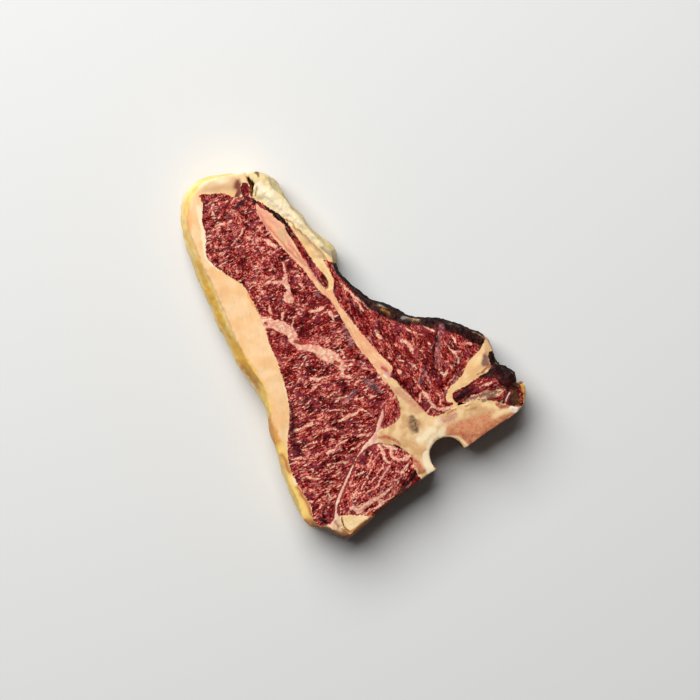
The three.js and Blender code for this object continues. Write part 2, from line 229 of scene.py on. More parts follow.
stripVeins = [
    [(-29, 25, 8.7), (-23.5, 19, 6.7), (-19, 13, 7.4), (-17, 7.5, 7.4), (-18, 1.5, 6), (-18, -4, 4.7),
     (-12.5, -9, 5.4), (-9.5, -15.5, 7.4), (-5.5, -22.5, 8), (-3, -29.5, 6), (-5, -34, 3.4),
     (-7.5, -38, 1.3)],
    [(-21, 23, 2.7), (-17.5, 29, 1)],
    [(-16.5, 18, 2), (-9.5, 21, 1)],
    [(-13, 11, 2), (-4, 14.5, 1)],
    [(-26.5, 26, 2), (-28, 35, 1.3)],
    [(-6.5, -25, 2), (-14, -24, 0.8)],
    [(-3.5, -32, 2), (3, -35, 1.3), (8.5, -43, 0.7)],
    [(2, -28.5, 2), (2.5, -23, 1)],
    [(7.5, 46, 1.3), (4.5, 40, 2), (1, 36.5, 4.7), (0, 30.5, 2.7), (-5, 26.5, 6), (-3.5, 23, 4)],
    [(-0.5, 37, 2.7), (-7, 41.5, 1.7), (-17.5, 48.5, 1.3)],
    [(3, 38, 1.3), (10, 39, 0.7)],
    [(-16.5, 93, 0.8), (-11.5, 93.5, 1.3), (-6, 90, 1.7), (-3, 89.5, 2)],
    [(-8.5, 105.5, 1), (-9.5, 101, 1.3)],
    [(0, 81, 1), (-7, 78, 1.3), (-13, 76.5, 0.8)],
    [(-6.5, 83, 1), (-3, 83, 0.7)],
    [(6.5, 67, 1.3), (8.5, 63, 3.4), (10, 58, 2)],
    [(0, 18.5, 0.7), (1, 11, 1.3), (8, 7.5, 3.4), (11.5, 6, 1.3)],
    [(12, 1, 3.4), (11, -3.5, 1.3)],
    [(11.5, 75, 1.3), (6.5, 73.5, 0.7)],
    [(9.5, 101.5, 1.3), (4.5, 99.5, 1)],
    [(-16, 68, 0.7), (-9.5, 65.5, 1)],
    [(0, 53.5, 0.7), (0, 46.5, 1)],
    [(8, 29.5, 0.8), (8, 22.5, 1)],
    [(-16, -13, 0.7), (-22, -14.5, 1.3), (-27, -15.5, 0.7)],
    [(-17.5, -26, 0.8), (-27, -26.5, 1.7), (-24, -26, 0.7)],
    [(-35, -23, 0.7), (-30, -22.5, 1)],
    [(-24.5, -25, 1.3), (-22, -29.5, 2), (-16, -32, 1.7), (-10.5, -33.5, 0.7)],
    [(-8.5, -36.5, 2), (-2.5, -42, 1), (6.5, -48, 0.7)],
    [(-31, -32, 0.7), (-25, -33, 2), (-19, -32.5, 0.8)],
    [(-25.5, -43, 0.7), (-18.5, -43, 1.7), (-15.5, -43.5, 0.7)],
    [(-19.5, -47.5, 0.7), (-14, -49, 1.7), (-8, -50.5, 0.7)],
    [(-6.5, -46.5, 0.7), (0, -47.5, 1.3), (4.5, -48, 0.7)],
    [(-55, -46.5, 2.3), (-47.5, -49, 2), (-42.5, -51, 1.5), (-37.5, -53, 0.7)],
    [(-29.5, -50, 1), (-22.5, -55, 1.5), (-16, -60.5, 0.7)],
    [(-28, -60.5, 2), (-22, -61.5, 2.7), (-17, -62, 2), (-11.5, -62, 1.7), (-8, -66.5, 0.7)],
    [(-47, -72, 2), (-42, -73.5, 2), (-37.5, -72, 2), (-31.5, -73, 1.3), (-26.5, -73, 0.7)],
    [(-68.5, -60.5, 1.7), (-63.5, -63.5, 2), (-59.5, -68, 1), (-55, -71.5, 0.7)],
    [(-51, -79, 0.7), (-46, -81, 1.5), (-39.5, -84.5, 1)],
    [(-67.5, -76.5, 1.7), (-65, -80, 2), (-60.5, -82.5, 1)],
    [(-54.5, -86.5, 0.7), (-47.5, -88.5, 1.3)],
    [(-21, -69, 0.7), (-16.5, -72.5, 1.5), (-13, -76, 1.3)],
    [(-24, -71, 0.7), (-19, -74, 1.5), (-15, -78, 1.3)],
    [(-23.5, -75.5, 0.7), (-18.5, -78.5, 2), (-14, -81, 1.3)],
    [(-28, -80.5, 1.3), (-23.5, -81.5, 2.7), (-17.5, -83.5, 2.7)],
    [(-67.5, -93.5, 1.3), (-63, -94.5, 2), (-62, -98.5, 1)],
    [(-73.5, -98, 1.3), (-69.5, -97, 1.3), (-68.5, -101.5, 0.7)],
    [(-55.5, -59.5, 0.7), (-50.5, -60.5, 1.3), (-46.5, -62, 0.7)],
    [(-49, -56, 0.7), (-44, -58.5, 1)],
    [(-43, -57, 0.7), (-34.5, -60.5, 1.3), (-32, -65, 0.7)],
    [(-13.5, -43, 0.7), (-24.5, -47, 0.7)],
    [(-58, -73.5, 0.7), (-53, -75, 1), (-47, -74.5, 0.7)],
    [(-37, -80.5, 0.7), (-31.5, -80.5, 1), (-24.5, -80.5, 0.7)],
    [(-39, -31.5, 0.7), (-38, -37.5, 1), (-32.5, -38, 1.3), (-28.5, -43, 0.7)],
    [(-48, -40.5, 0.7), (-40.5, -44, 1), (-34, -45.5, 0.7)],
    [(-17, -53, 0.7), (-9.5, -55.5, 1.3), (-4.5, -57.5, 0.7)],
    [(-2, -52.5, 0.7), (4.5, -54, 1.3), (8.5, -56, 0.7)],
]
marks["strip_loin"] = {"veins": stripVeins}

tenderVeins = [
    [(30, -67, 0.8), (28.5, -71, 1.3), (29.5, -76.5, 2), (29.5, -82.5, 2), (28.5, -88.5, 2), (29.5, -93.5, 2),
     (32.5, -96.5, 2.3), (37.5, -98.5, 2), (43, -98, 1.3)],
    [(36, -82, 1), (36, -87.5, 1.7), (34, -93.5, 1.7)],
    [(68.5, -57.5, 1), (66.5, -65.5, 2)],
    [(61, -61.5, 0.7), (61.5, -68.5, 1.7), (61.5, -75, 1.7), (60, -78, 1)],
    [(62, -70, 1.3), (66, -72.5, 1)],
    [(71, -68.5, 1), (75, -73.5, 1.7), (78.5, -75, 1)],
    [(61, -79.5, 0.7), (65.5, -80.5, 1.3)],
    [(47, -72, 0.7), (47, -79, 2), (51, -77, 1.3)],
    [(54, -74, 1), (54, -79.5, 0.7)],
    [(27.5, -79, 2), (23.5, -82, 1)],
    [(41, -44, 2), (41, -48, 3.4), (41, -52.5, 1.7)],
    [(56, -42, 1), (57.5, -46.5, 2), (59, -50, 1)],
    [(44, -51.5, 0.7), (45, -57, 1.3), (44.5, -61, 0.7)],
    [(33.5, -56.5, 0.7), (34, -60.5, 1.7), (35, -63, 1)],
    [(40.5, -6.5, 0.7), (42.5, -19, 1), (43, -27, 0.7)],
    [(31, 4, 0.7), (30.5, -7.5, 1.3), (30.5, -14, 0.7)],
    [(29.5, 12, 1.7), (31.5, 2, 1.7), (33.5, -8, 2), (36, -14, 1)],
    [(29.5, -25.5, 1.3), (28.5, -30, 2.7), (28.5, -33.5, 1)],
    [(33.5, -42.5, 2), (33.5, -43.5, 2)],
    [(39, -42.5, 2), (39.5, -43.5, 1.7)],
    [(30, -35.5, 0.7), (29, -45, 1)],
    [(24, -63, 0.7), (30.5, -63, 1), (36, -60.5, 0.7)],
    [(25, -57, 2), (24.5, -59.5, 2)],
    [(39.5, -51, 0.7), (39, -64.5, 0.7)],
    [(39, -69.5, 0.8), (36.5, -77, 0.7)],
    [(20.5, -92.5, 0.7), (26.5, -90, 1.3)],
    [(42, -87.5, 0.7), (46.5, -84.5, 1), (53, -83, 0.7)],
    [(50.5, -86, 0.7), (57.5, -83.5, 1), (63.5, -83.5, 0.7)],
    [(39.5, -92.5, 0.7), (47, -91, 1)],
    [(52, -56.5, 0.7), (52.5, -49.5, 1), (49, -43, 0.7)],
    [(45.5, -32, 0.7), (46.5, -38.5, 1.3), (48.5, -44.5, 0.7)],
    [(27.5, -50.5, 1), (31.5, -55, 0.7)],
    [(26.5, -41.5, 1), (25.5, -46.5, 1.3)],
    [(17.5, -63, 0.7), (23, -62.5, 0.7)],
]
marks["tenderloin"] = {"veins": tenderVeins}

marks["spine_muscle"] = {"veins": [
    [(-15, -85.5, 2.7), (-16.5, -92, 2.7), (-18, -98.5, 2.3), (-17, -104, 1.7)],
    [(-13, -90.5, 2), (-11, -94.5, 3.4), (-8.5, -98, 2.7)],
    [(-10.5, -95.5, 2), (-13, -99.5, 2.7), (-12, -105, 2.7), (-8, -107, 2.3), (-3, -107.5, 1.3)],
    [(-8, -110.5, 1.7), (-13.5, -112, 1)],
    [(-30, -98.5, 1), (-37, -102.5, 1.3), (-43, -105.5, 1)],
    [(-19, -104.5, 1.3), (-25.5, -106, 2), (-32.5, -110, 2), (-39.5, -110, 1.3), (-44.5, -110, 1.3)],
    [(-56, -111.5, 3.4), (-54, -115.5, 2.7), (-47.5, -115.5, 2.7), (-41, -116, 2.7), (-33, -116.5, 2),
     (-26, -116.5, 1.3)],
    [(-40, -117, 2), (-39.5, -121, 1.3)],
    [(-43.5, -95, 0.7), (-38.5, -95.5, 1.3), (-33.5, -97.5, 0.7)],
    [(-23.5, -91.5, 0.7), (-27.5, -94.5, 1)],
    [(-49.5, -104, 0.7), (-44.5, -103.5, 1.3)],
    [(-29, -112, 1), (-21, -114.5, 1.7), (-15, -115.5, 1)],
    [(-17, -109.5, 1), (-14.5, -113.5, 1.3)],
    [(-49, -110, 0.7), (-42, -110, 1.3)],
    [(-53.5, -104, 0.7), (-48, -101.5, 1)],
    [(-50.5, -120, 1.3), (-41.5, -121.5, 2), (-33, -121.5, 1.7), (-26, -123, 1.3)],
]}

marks["side_muscle"] = {"veins": [
    [(53, -101.5, 1.3), (60, -103.5, 1.7), (67, -105.5, 1.3)],
    [(58, -106.5, 1), (64, -108.5, 1.3), (69.5, -110.5, 1)],
    [(47, -100.5, 1), (51, -102, 1.3)],
    [(70, -94, 1.3), (74.5, -96, 1)],
    [(61, -99.5, 1), (66, -101, 1.3), (71, -103, 1)],
    [(72, -101, 1), (77, -103, 1)],
    [(42, -98, 1.3), (45.5, -101.5, 1.7)],
]}

marks["fat_cap"] = {"stainsAndSheen": [
    ("gold", 2.4, [(-52, 36, 4), (-54, 21.5, 7.4), (-54.5, 10, 8), (-55.5, -2, 8), (-57, -13, 8),
     (-61, -24, 6.7), (-65, -32, 4.7)], 14),
    ("gold", 2.4, [(-38, 81.5, 3), (-43, 68.5, 4), (-46.5, 54, 5.4), (-51, 39, 5.4)], 14),
    ("blush", 3, [(-21, 118, 4.7), (-25.5, 113, 7), (-28.5, 104.5, 5)]),
    ("tan", 3, [(-4.5, 119.5, 5.4), (3, 116, 8.7), (13, 110, 8.7), (15.5, 105, 6)]),
    ("amber", 1.5, [(-3, 119, 1.3), (1.5, 119, 2), (7, 116.5, 1.3)]),
    ("milk", 1.2, [(-15, 110.5, 2), (-20, 100, 2.7), (-27.5, 88.5, 3.4), (-31, 80.5, 3.4),
     (-29.5, 70.5, 2)]),
    ("blush", 1, [(-24, 44.5, 2.7), (-24.5, 36, 3.4), (-26, 28.5, 2.7)]),
    ("milk", 1, [(-30.5, 14, 2), (-32.5, 2.5, 2), (-37.5, -10.5, 2), (-44, -25.5, 2), (-49, -35.5, 2)]),
    ("yellow", 2.4, [(-57, -9.5, 3), (-61, -19, 5.4), (-66, -32, 7), (-71, -49, 9), (-75, -63.5, 10),
     (-79, -76.5, 10), (-82, -89.5, 10), (-85, -101, 8)], 22),
    ("amber", 1.4, [(-57.5, 9.5, 1.3), (-58, 0, 2), (-58.5, -11.5, 1.3)]),
    ("bark", 0.6, [(-58.5, 5, 0.6), (-59, -1, 0.8)]),
    ("rust", 1, [(-71.5, -55, 1.3), (-73, -61, 2), (-74, -67, 2)]),
    ("milk", 0.7, [(-74, -71, 1), (-75.5, -76, 1.3)]),
    ("rust", 0.8, [(-76, -78, 1), (-78, -90.5, 1.3), (-80.5, -102, 1.7)]),
    ("ochre", 1.4, [(-86, -100, 2.7), (-81, -107, 6), (-77, -114, 7.4), (-72, -122, 8), (-64, -127, 7)], 60),
    ("rind", 0.9, [(-80.5, -111.5, 2), (-77.5, -117, 3.4), (-74, -124, 4.7), (-68, -128, 3.4)], 60),
    ("milk", 0.7, [(-80, -104, 1), (-76.5, -109.5, 1.7), (-73.5, -115, 1.7), (-71, -119.5, 1.3)]),
    ("soot", 0.6, [(-78, -110.5, 1), (-74.5, -118.5, 1.3)]),
    ("amber", 0.8, [(-82, -111, 1.3), (-77, -119, 1.3)]),
    ("milk", 2, [(-5, 126.5, 2.7), (3.5, 124, 2.7), (11.5, 119.5, 2.7)]),
    ("amber", 2, [(-65, -33.5, 2), (-68, -38, 2.7), (-69.5, -43.5, 2)]),
    ("muscle", 1, [(16.5, 105.5, 2.4), (13, 102, 4), (7, 99, 2)]),
    ("bark", 0.7, [(-83, -105, 1), (-81, -109, 2), (-78, -113, 3), (-75, -119, 3), (-71, -124.5, 3)], 60),
    ("rind", 0.5, [(-79.5, -112.5, 1), (-77, -117.5, 1.8), (-73, -123, 2), (-70, -126, 2)], 60),
    ("ochre", 1.2, [(-72, -127, 4), (-62, -127.5, 6), (-50, -127.5, 6), (-46, -127, 4)], 60),
    ("bark", 1.2, [(-70, -128.5, 1.6), (-64, -127.5, 2.4), (-57, -128.5, 1.6), (-50, -128, 2.4)], 60),
    ("rust", 0.7, [(-67, -127, 1.6), (-60, -127, 1.2), (-54, -126.5, 1.6), (-48, -127, 1.4)], 14),
]}
marks["kidney_fat"] = {"stainsAndSheen": [
    ("tan", 1.5, [(35, 103.5, 2), (36.5, 99.5, 4), (37.5, 95, 4)]),
    ("bark", 0.8, [(34.5, 98.5, 1.3), (36.5, 96, 1.7)]),
    ("amber", 1.2, [(36.5, 89.5, 2), (36, 84, 2.7), (35, 79.5, 2)]),
    ("amber", 1.5, [(36.5, 62.5, 2), (37, 56, 3.4), (38.5, 48, 3.4)]),
    ("olive", 2, [(38, 48.5, 3.4), (39.5, 41.5, 5.4), (40.5, 35, 4)]),
    ("grey", 2, [(33.5, 38, 4.7), (35.5, 31, 5.4), (36, 26, 3.4)]),
    ("bark", 0.8, [(26, 70, 1), (28.5, 63.5, 1.7), (30, 54.5, 1.7), (31, 46.5, 1.7), (32.5, 38.5, 1.7),
     (32.5, 28, 1.3)]),
    ("milk", 3, [(25.5, 98, 6.7), (26.5, 88.5, 8), (29, 76.5, 7.4), (31, 63.5, 5.4)]),
    ("bark", 0.8, [(30, 106.5, 2), (29.5, 102.5, 1)]),
    ("bark", 0.7, [(24.5, 97.5, 1), (20, 94, 1.3)]),
]}
marks["wedge_fat"] = {"stainsAndSheen": [
    ("tan", 1.5, [(27, 63, 1.3), (29, 53, 2.7), (30.5, 43.5, 3.4), (31.5, 32.5, 2.7)]),
    ("bark", 0.7, [(27, 69, 1), (29.5, 57, 1), (31.5, 42, 1), (31.5, 29, 1)]),
]}
marks["flank_strip"] = {"stainsAndSheen": [
    ("black", 1.2, [(22, 83.5, 3.4), (23, 78, 4.7), (24, 71, 4)]),
    ("black", 0.8, [(24, 71, 2), (25, 64.5, 1.3)]),
]}
marks["seam_fat"] = {"stainsAndSheen": [
    ("rose", 2.5, [(16.5, 87.5, 2), (18.5, 76, 2), (20.5, 66, 2.4), (19.5, 55.5, 2.7)]),
    ("flesh", 1.5, [(18.5, 58, 1.4), (18.5, 42.5, 1.7), (18.5, 26.5, 1.4), (18.5, 15.5, 1)]),
    ("rose", 2, [(19, -47.5, 1.7), (18, -55, 2.7), (17, -60.5, 2.7)]),
    ("white", 0.8, [(15, -53.5, 2), (15.5, -55.5, 1.7)]),
    ("red", 0.7, [(17.5, -49.5, 1.7), (18.5, -52, 2)]),
    ("tan", 1.5, [(18, 65, 3.4), (17, 58.5, 2.7)]),
    ("flesh", 0.9, [(14.8, 85, 1), (14.4, 76, 1.8), (14.6, 66, 1.8), (15.4, 56, 1.6), (16.4, 46, 1.4),
     (17.6, 36, 1)]),
]}
marks["spine_seam"] = {"stainsAndSheen": [
    ("rose", 2, [(7.5, -69, 3), (-1, -75, 4), (-10, -82.5, 4), (-17, -85, 2)]),
    ("ochre", 1.4, [(-70, -112, 2), (-70, -119, 5), (-66, -127, 6)], 60),
    ("milk", 0.7, [(-69.5, -113, 1.3), (-69.5, -117.5, 1.7)]),
    ("rind", 0.6, [(-75, -118, 1.6), (-72, -123, 2.4), (-69, -127, 3)], 60),
]}
marks["strip_loin"]["stainsAndSheen"] = [
    ("red", 0.6, [(-27, 22, 2), (-26.5, 20.5, 1.7)]),
    ("red", 0.7, [(-18, -0.5, 2.7), (-15, -3, 3.4), (-11.5, -6.5, 2)]),
    ("red", 0.7, [(-5.5, -27, 2.7), (-3.5, -29, 2)]),
    ("red", 0.7, [(-25.5, 27.5, 1.7), (-21, 24.5, 2), (-19, 20.5, 1.3)]),
    ("red", 0.7, [(-18, 17.5, 1), (-12.5, 12, 1.3)]),
    # painted sheen: grey-purple strokes where the wet flesh reflects the light
    ("haze", 1.5, [(14, -11.5, 2.7), (12.5, -19, 4), (10, -25.5, 3.4)]),
    ("haze", 1.5, [(3, -50, 4), (5.5, -55.5, 4.7), (7, -61, 2.7)]),
    ("haze", 1.2, [(13.5, 16.5, 2.7), (13.5, 13.5, 2)]),
    ("haze", 1.5, [(-17, -52, 2), (-10, -51.5, 3.4), (-4.5, -51, 2)]),
    ("dark", 0.8, [(-26, 84, 1), (-22.5, 80, 1.3), (-16.5, 77, 1.7), (-11, 78, 1)]),
    ("dark", 0.8, [(-19, 88.5, 0.7), (-14.5, 83, 1), (-9.5, 82, 0.7)]),
    ("dark", 2.5, [(-46, -31.5, 2), (-50.5, -39, 3.4), (-57, -46.5, 2.7), (-62, -54.5, 2)]),
    ("dark", 1.5, [(14, 96, 2), (8, 96, 3.4), (3, 96, 2)]),
    ("dark", 1, [(-42.5, -34.5, 1.3), (-35, -35.5, 2), (-28, -35.5, 1)]),
    ("dark", 1, [(-28, -42.5, 1), (-19, -46, 1.7), (-8.5, -47.5, 1.3)]),
    ("black", 1, [(-77, -104.5, 2.7), (-75.5, -108.5, 2.7)]),
    ("dark", 1, [(-33, -68.5, 0.7), (-25.5, -69, 1.3), (-17, -67, 0.7)]),
    ("dark", 0.8, [(-69.5, -84, 0.7), (-63.5, -87, 1), (-56, -87.5, 0.7)]),
    # painted sheen: one more grey-purple reflection of the light
    ("haze", 1.2, [(-76.5, -72, 1.3), (-76.5, -77, 2), (-77.5, -81.5, 1.3)]),
    ("dark", 1.5, [(17.5, 93, 2), (20, 86.5, 2.7), (20.5, 80.5, 2)]),
]
marks["tenderloin"]["stainsAndSheen"] = [
    ("rind", 1.4, [(34.5, 17, 2), (35, 9, 3), (35, 1, 4), (36, -6, 6), (39.5, -15, 7.4), (44.5, -24.5, 8),
     (49.5, -32.5, 7.4), (56.5, -39.5, 6.7), (64.5, -48, 7), (72, -56.5, 7.4), (77, -66, 7.4),
     (80.5, -74, 6)]),
    ("black", 0.8, [(35.5, 4, 1.7), (37.5, -6, 2), (41, -15, 2.4), (44, -22, 3), (47, -27.5, 4)]),
    ("black", 0.8, [(57, -38.5, 3), (63, -44.5, 4), (69.5, -52, 4), (75.5, -60.5, 4), (80, -69, 4.4),
     (81, -76, 4)]),
    ("amber", 0.5, [(39, -8, 0.8), (42, -13, 0.7), (46, -20, 0.8)]),
    ("amber", 0.6, [(41, -18, 1.2), (43.5, -23, 1.7)]),
    ("white", 0.5, [(49.5, -31, 1.6), (50.5, -32, 1)]),
    ("tan", 0.7, [(52.5, -34, 1.7), (56, -38, 2)]),
    ("milk", 0.6, [(39, -3, 0.5), (43, -11.5, 0.6)]),
    ("tan", 0.8, [(82, -67, 0.7), (85, -73.5, 1.3)]),
    ("grey", 0.6, [(42, -14, 0.7), (44, -18, 0.7)]),
    ("grey", 0.6, [(71, -50, 0.5), (75.5, -57, 0.7)]),
    ("dark", 0.8, [(63.5, -49.5, 2), (57.5, -55, 1.7), (52, -61, 1.7), (47, -67.5, 1.7),
     (42.5, -76.5, 1.3)]),
    # painted sheen: grey-purple strokes where the wet flesh reflects the light, beside a darker band
    ("haze", 0.8, [(65, -52, 2), (58, -59, 2.3), (52, -65.5, 2), (48, -70.5, 1.3)]),
    ("dark", 0.8, [(49, -60.5, 0.7), (41.5, -66, 1), (38.5, -72.5, 0.7)]),
    # painted sheen: two more grey-purple reflections of the light
    ("haze", 1.2, [(30.5, -72.5, 2), (36, -70.5, 2.7), (39, -66, 1.3)]),
    ("haze", 1.2, [(56, -82.5, 1.3), (48.5, -87, 2), (41, -89.5, 1.3)]),
]
marks["chain_fat"] = {"stainsAndSheen": [
    ("tan", 1.5, [(85, -75.5, 4), (83.5, -80.5, 5.4), (80, -86, 4)]),
    ("amber", 0.8, [(87.5, -74.5, 1.3), (86.5, -82.5, 1.7), (84, -88, 1.3)]),
    ("plum", 1.8, [(77, -84.5, 3.4), (74.5, -89, 4.7)]),
    ("rust", 0.8, [(79.5, -87, 1.3), (75, -92, 1.7), (68.5, -92, 1.3)]),
    ("bark", 0.8, [(65.5, -91.5, 1), (69.5, -93, 1.3)]),
]}
marks["side_muscle"]["stainsAndSheen"] = [
    ("dark", 2, [(65.5, -91.5, 5.4), (74, -96.5, 8), (77.5, -106, 8), (76.5, -115, 6.7),
     (73.5, -121, 5.4)]),
    ("black", 0.9, [(80.5, -84.5, 4.7), (80.5, -91, 8), (81, -99, 9.4), (82, -106.5, 8.7),
     (80.5, -113, 6)]),
    ("black", 0.8, [(66, -94.5, 2), (73, -95.5, 3.4)]),
    ("dark", 1, [(43, -96, 3.4), (48.5, -96.5, 4.7), (54, -97, 3.4)]),
    ("beige", 1.4, [(48.5, -101.5, 2.7), (56, -104.5, 4.7), (63.5, -107.5, 5.4), (70, -110, 4)]),
    ("bark", 1.5, [(77, -115.5, 4), (76, -121.5, 5.4)]),
    ("amber", 0.6, [(86, -102.5, 1), (86, -108, 1.3), (83, -113.5, 1)]),
    ("grey", 0.6, [(81, -93.5, 1), (83, -98, 1.3)]),
]
marks["end_fat"] = {"stainsAndSheen": [
    ("bark", 1, [(80, -116, 2), (76, -121.5, 2)]),
    ("milk", 1, [(87.5, -113.5, 2), (86.5, -117.5, 2)]),
    ("white", 0.7, [(71, -123.5, 2), (72.5, -125.5, 2)]),
]}
marks["t_bone"] = {"stainsAndSheen": [
    ("spongy", 4, [(22.5, -108, 7), (31.5, -113, 11), (45, -118, 12), (57.5, -121.5, 8)]),
    ("rust", 2.4, [(9, -110.5, 2.7), (15.5, -107, 2.7), (21, -106.5, 2.7), (26, -110, 2.7),
     (31.5, -115.5, 2.7), (35, -124.5, 6), (44, -126.5, 8), (54, -127, 7.4), (63, -127, 5.4),
     (71, -127.5, 3)]),
    ("milk", 0.5, [(7.8, -116, 1.4), (11.3, -112.3, 1.4), (16, -110, 1.1), (21.2, -111, 1.1),
     (25.6, -113.4, 1.1), (29, -117, 1.2), (30.3, -122, 1.3), (30, -126, 1.3)]),
    ("bone", 2, [(57, -120.5, 2.7), (66.5, -121.5, 4), (74.5, -123.5, 3.4)]),
    ("shade", 2.5, [(24.5, -100.5, 3.4), (31, -103, 4), (37, -105, 2.7)]),
    ("blood", 0.7, [(33.5, -100.5, 1.3), (37.5, -101, 1.5), (40, -102, 1)]),
    ("blood", 0.6, [(45.5, -103.5, 1), (49, -104.5, 1)]),
    ("moss", 0.8, [(57.5, -108, 1.3), (61, -108.5, 2), (65.5, -112, 2), (66.5, -116, 2)]),
    ("blood", 1, [(63.5, -114.5, 2), (65.5, -118.5, 2.3), (69.5, -121, 1.3)]),
    ("ash", 1.5, [(44.5, -106.5, 0.7), (51, -109, 1)]),
    ("raw", 1.6, [(-14, -85, 1.3), (-9.5, -87, 2), (-6, -91, 2), (-4, -97.5, 1)]),
    ("beige", 2.5, [(16, -67, 2.7), (18, -76, 5), (21, -86, 5)]),
    ("ash", 2.4, [(12, -88.5, 5), (11, -92.5, 7.4), (9.5, -96.5, 5)]),
    ("soot", 1.2, [(12.5, -90, 3), (11.2, -93, 4.2), (9.8, -96, 3)]),
    ("raw", 3.2, [(-3.5, -109.5, 2.7), (-3.5, -115, 4), (-4, -120, 3.4)]),
    ("soot", 1, [(-5.5, -120.5, 2), (-2.5, -121.5, 2)]),
    ("milk", 1, [(5.5, -113, 4.7), (2.5, -119, 6), (1, -126.5, 4.7)]),
    ("milk", 3, [(8, -103, 5.4), (18.5, -102.5, 5.4)]),
    ("white", 0.8, [(71.5, -124, 1.3), (73, -126, 1.3)]),
]}
marks["spine_muscle"]["stainsAndSheen"] = [
    ("dark", 1.5, [(-43, -123.5, 1.4), (-31.5, -123.5, 1.7), (-22, -122, 2)]),
    ("black", 0.9, [(-22.5, -122, 2), (-17.5, -121, 3.4), (-13, -120, 2.7), (-8.5, -119.5, 2.7),
     (-5.5, -119.5, 2)]),
    ("amber", 0.9, [(-62.5, -125, 3), (-47, -126.5, 3.4), (-33, -127, 3.4), (-16, -127, 3)]),
    ("rust", 1, [(-61, -111.5, 1.3), (-56.5, -118.5, 1.7), (-48, -123, 1.3)]),
]
marks["spine_tip"] = {"stainsAndSheen": [
    ("bark", 0.7, [(-65.5, -112, 1.3), (-68.5, -118, 1.7), (-67, -125, 1.3)]),
    ("amber", 1.0, [(-69, -123, 3), (-66, -125, 4), (-55, -125.5, 4), (-45, -125, 3)], 60),
    ("rust", 0.6, [(-71, -123.5, 2), (-68, -125.5, 2), (-60, -126.5, 2), (-50, -126.5, 1.6)], 60),
]}
marks["cap_muscle"] = {"stainsAndSheen": [
    ("black", 0.8, [(21.5, 100.5, 2), (19, 96, 2), (15, 95, 1.3)]),
]}
print("marks read for", len(marks), "pieces")

cutFace, innerWall, outerWall = 0, 1, 2

# How the solids are read
reading = {
    "doubles": 0.004,  # loose triangle corners nearer than this are one
    "steep": 0.7,  # a face whose normal rises more than this is a cut face
    "sag": 5.0,  # how far the upper cut face may lie under the level
    "probe": 3.0,  # how far under the level a wall is asked for its neighbour
    "touch": 2.2,  # a neighbour lies within so many gaps
    "onCut": 1e-4,  # a point this near to a cut lies on it
}


def solidOf(node):  # the CAD piece as a closed mesh in millimetres, its triangles joined
    bm = bmesh.new()
    bm.from_mesh(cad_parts[node].data)
    bmesh.ops.scale(bm, vec=(1 / mm,) * 3, verts=bm.verts)
    bmesh.ops.remove_doubles(bm, verts=bm.verts, dist=reading["doubles"])
    return bm


# Every piece's faces in one tree, to tell a wall that meets a neighbour from the outside
solids = {node: solidOf(node) for node in pieces}
whole = bmesh.new()
ownerOf = []
for node, bm in solids.items():
    copied = bpy.data.meshes.new("copied")
    bm.to_mesh(copied)
    whole.from_mesh(copied)
    bpy.data.meshes.remove(copied)
    ownerOf += [node] * len(bm.faces)
wholeTree = BVHTree.FromBMesh(whole)
whole.free()
print("solids read", len(ownerOf), "faces")


def neighbourAt(point, node):  # the other piece that lies against this point, if any
    found = wholeTree.find_nearest_range(point, reading["touch"] * steak["gap"])
    beside = [(distance, ownerOf[index]) for _, _, index, distance in found if ownerOf[index] != node]
    return min(beside)[1] if beside else None


def sliceAlong(bm, faces, axis, low, high, step):  # cuts faces into rows, halving the stretch each time
    cells = round((high - low) / step)
    if cells < 2 or not faces:
        return
    middle = low + step * (cells // 2)
    direction = Vector([float(i == axis) for i in range(3)])
    edges = {e for f in faces for e in f.edges}
    cut = bmesh.ops.bisect_plane(
        bm, geom=[*faces, *edges], dist=reading["onCut"], plane_co=direction * middle, plane_no=direction
    )
    below, above = [], []
    for f in cut["geom"]:
        if isinstance(f, bmesh.types.BMFace):
            side = below if f.calc_center_median()[axis] < middle else above
            side.append(f)
    sliceAlong(bm, below, axis, low, middle, step)
    sliceAlong(bm, above, axis, middle, high, step)


def carve(node):  # a piece with level cut faces, cut into small squares
    bm = solids[node]
    level, cell, steep = steak["level"], pieces[node]["cell"], reading["steep"]
    wall = bm.faces.layers.int.new("wall")
    sagging = level - reading["sag"]
    top = [f for f in bm.faces if f.normal.z > steep and f.calc_center_median().z > sagging]
    for v in {v for f in top for v in f.verts}:
        v.co.z = level
    bmesh.ops.dissolve_faces(bm, faces=top)
    bmesh.ops.dissolve_faces(bm, faces=[f for f in bm.faces if f.normal.z < -steep])
    outside = []
    for f in bm.faces:
        if abs(f.normal.z) > steep:
            f[wall] = cutFace
            continue
        middle = f.calc_center_median()
        middle.z = min(middle.z, level - reading["probe"])
        beside = neighbourAt(middle, node)
        f[wall] = innerWall if beside else outerWall
        if not beside:
            outside.append(f)
    sliceAlong(bm, outside, 2, 0, level, steak["layer"])
    for axis in (1, 0):
        values = [v.co[axis] for v in bm.verts]
        low = cell * math.floor(min(values) / cell - 1)
        high = cell * math.ceil(max(values) / cell + 1)
        sliceAlong(bm, bm.faces[:], axis, low, high, cell)
    return bm


def nearestOf(points, others):  # for each point the distance to the nearest of the others, and which it is
    tree = KDTree(len(others))
    for i, other in enumerate(others):
        tree.insert((*other, 0)[:3], i)
    tree.balance()
    found = [tree.find((*point, 0)[:3]) for point in points]
    return np.array([f[2] for f in found]), np.array([f[1] for f in found])


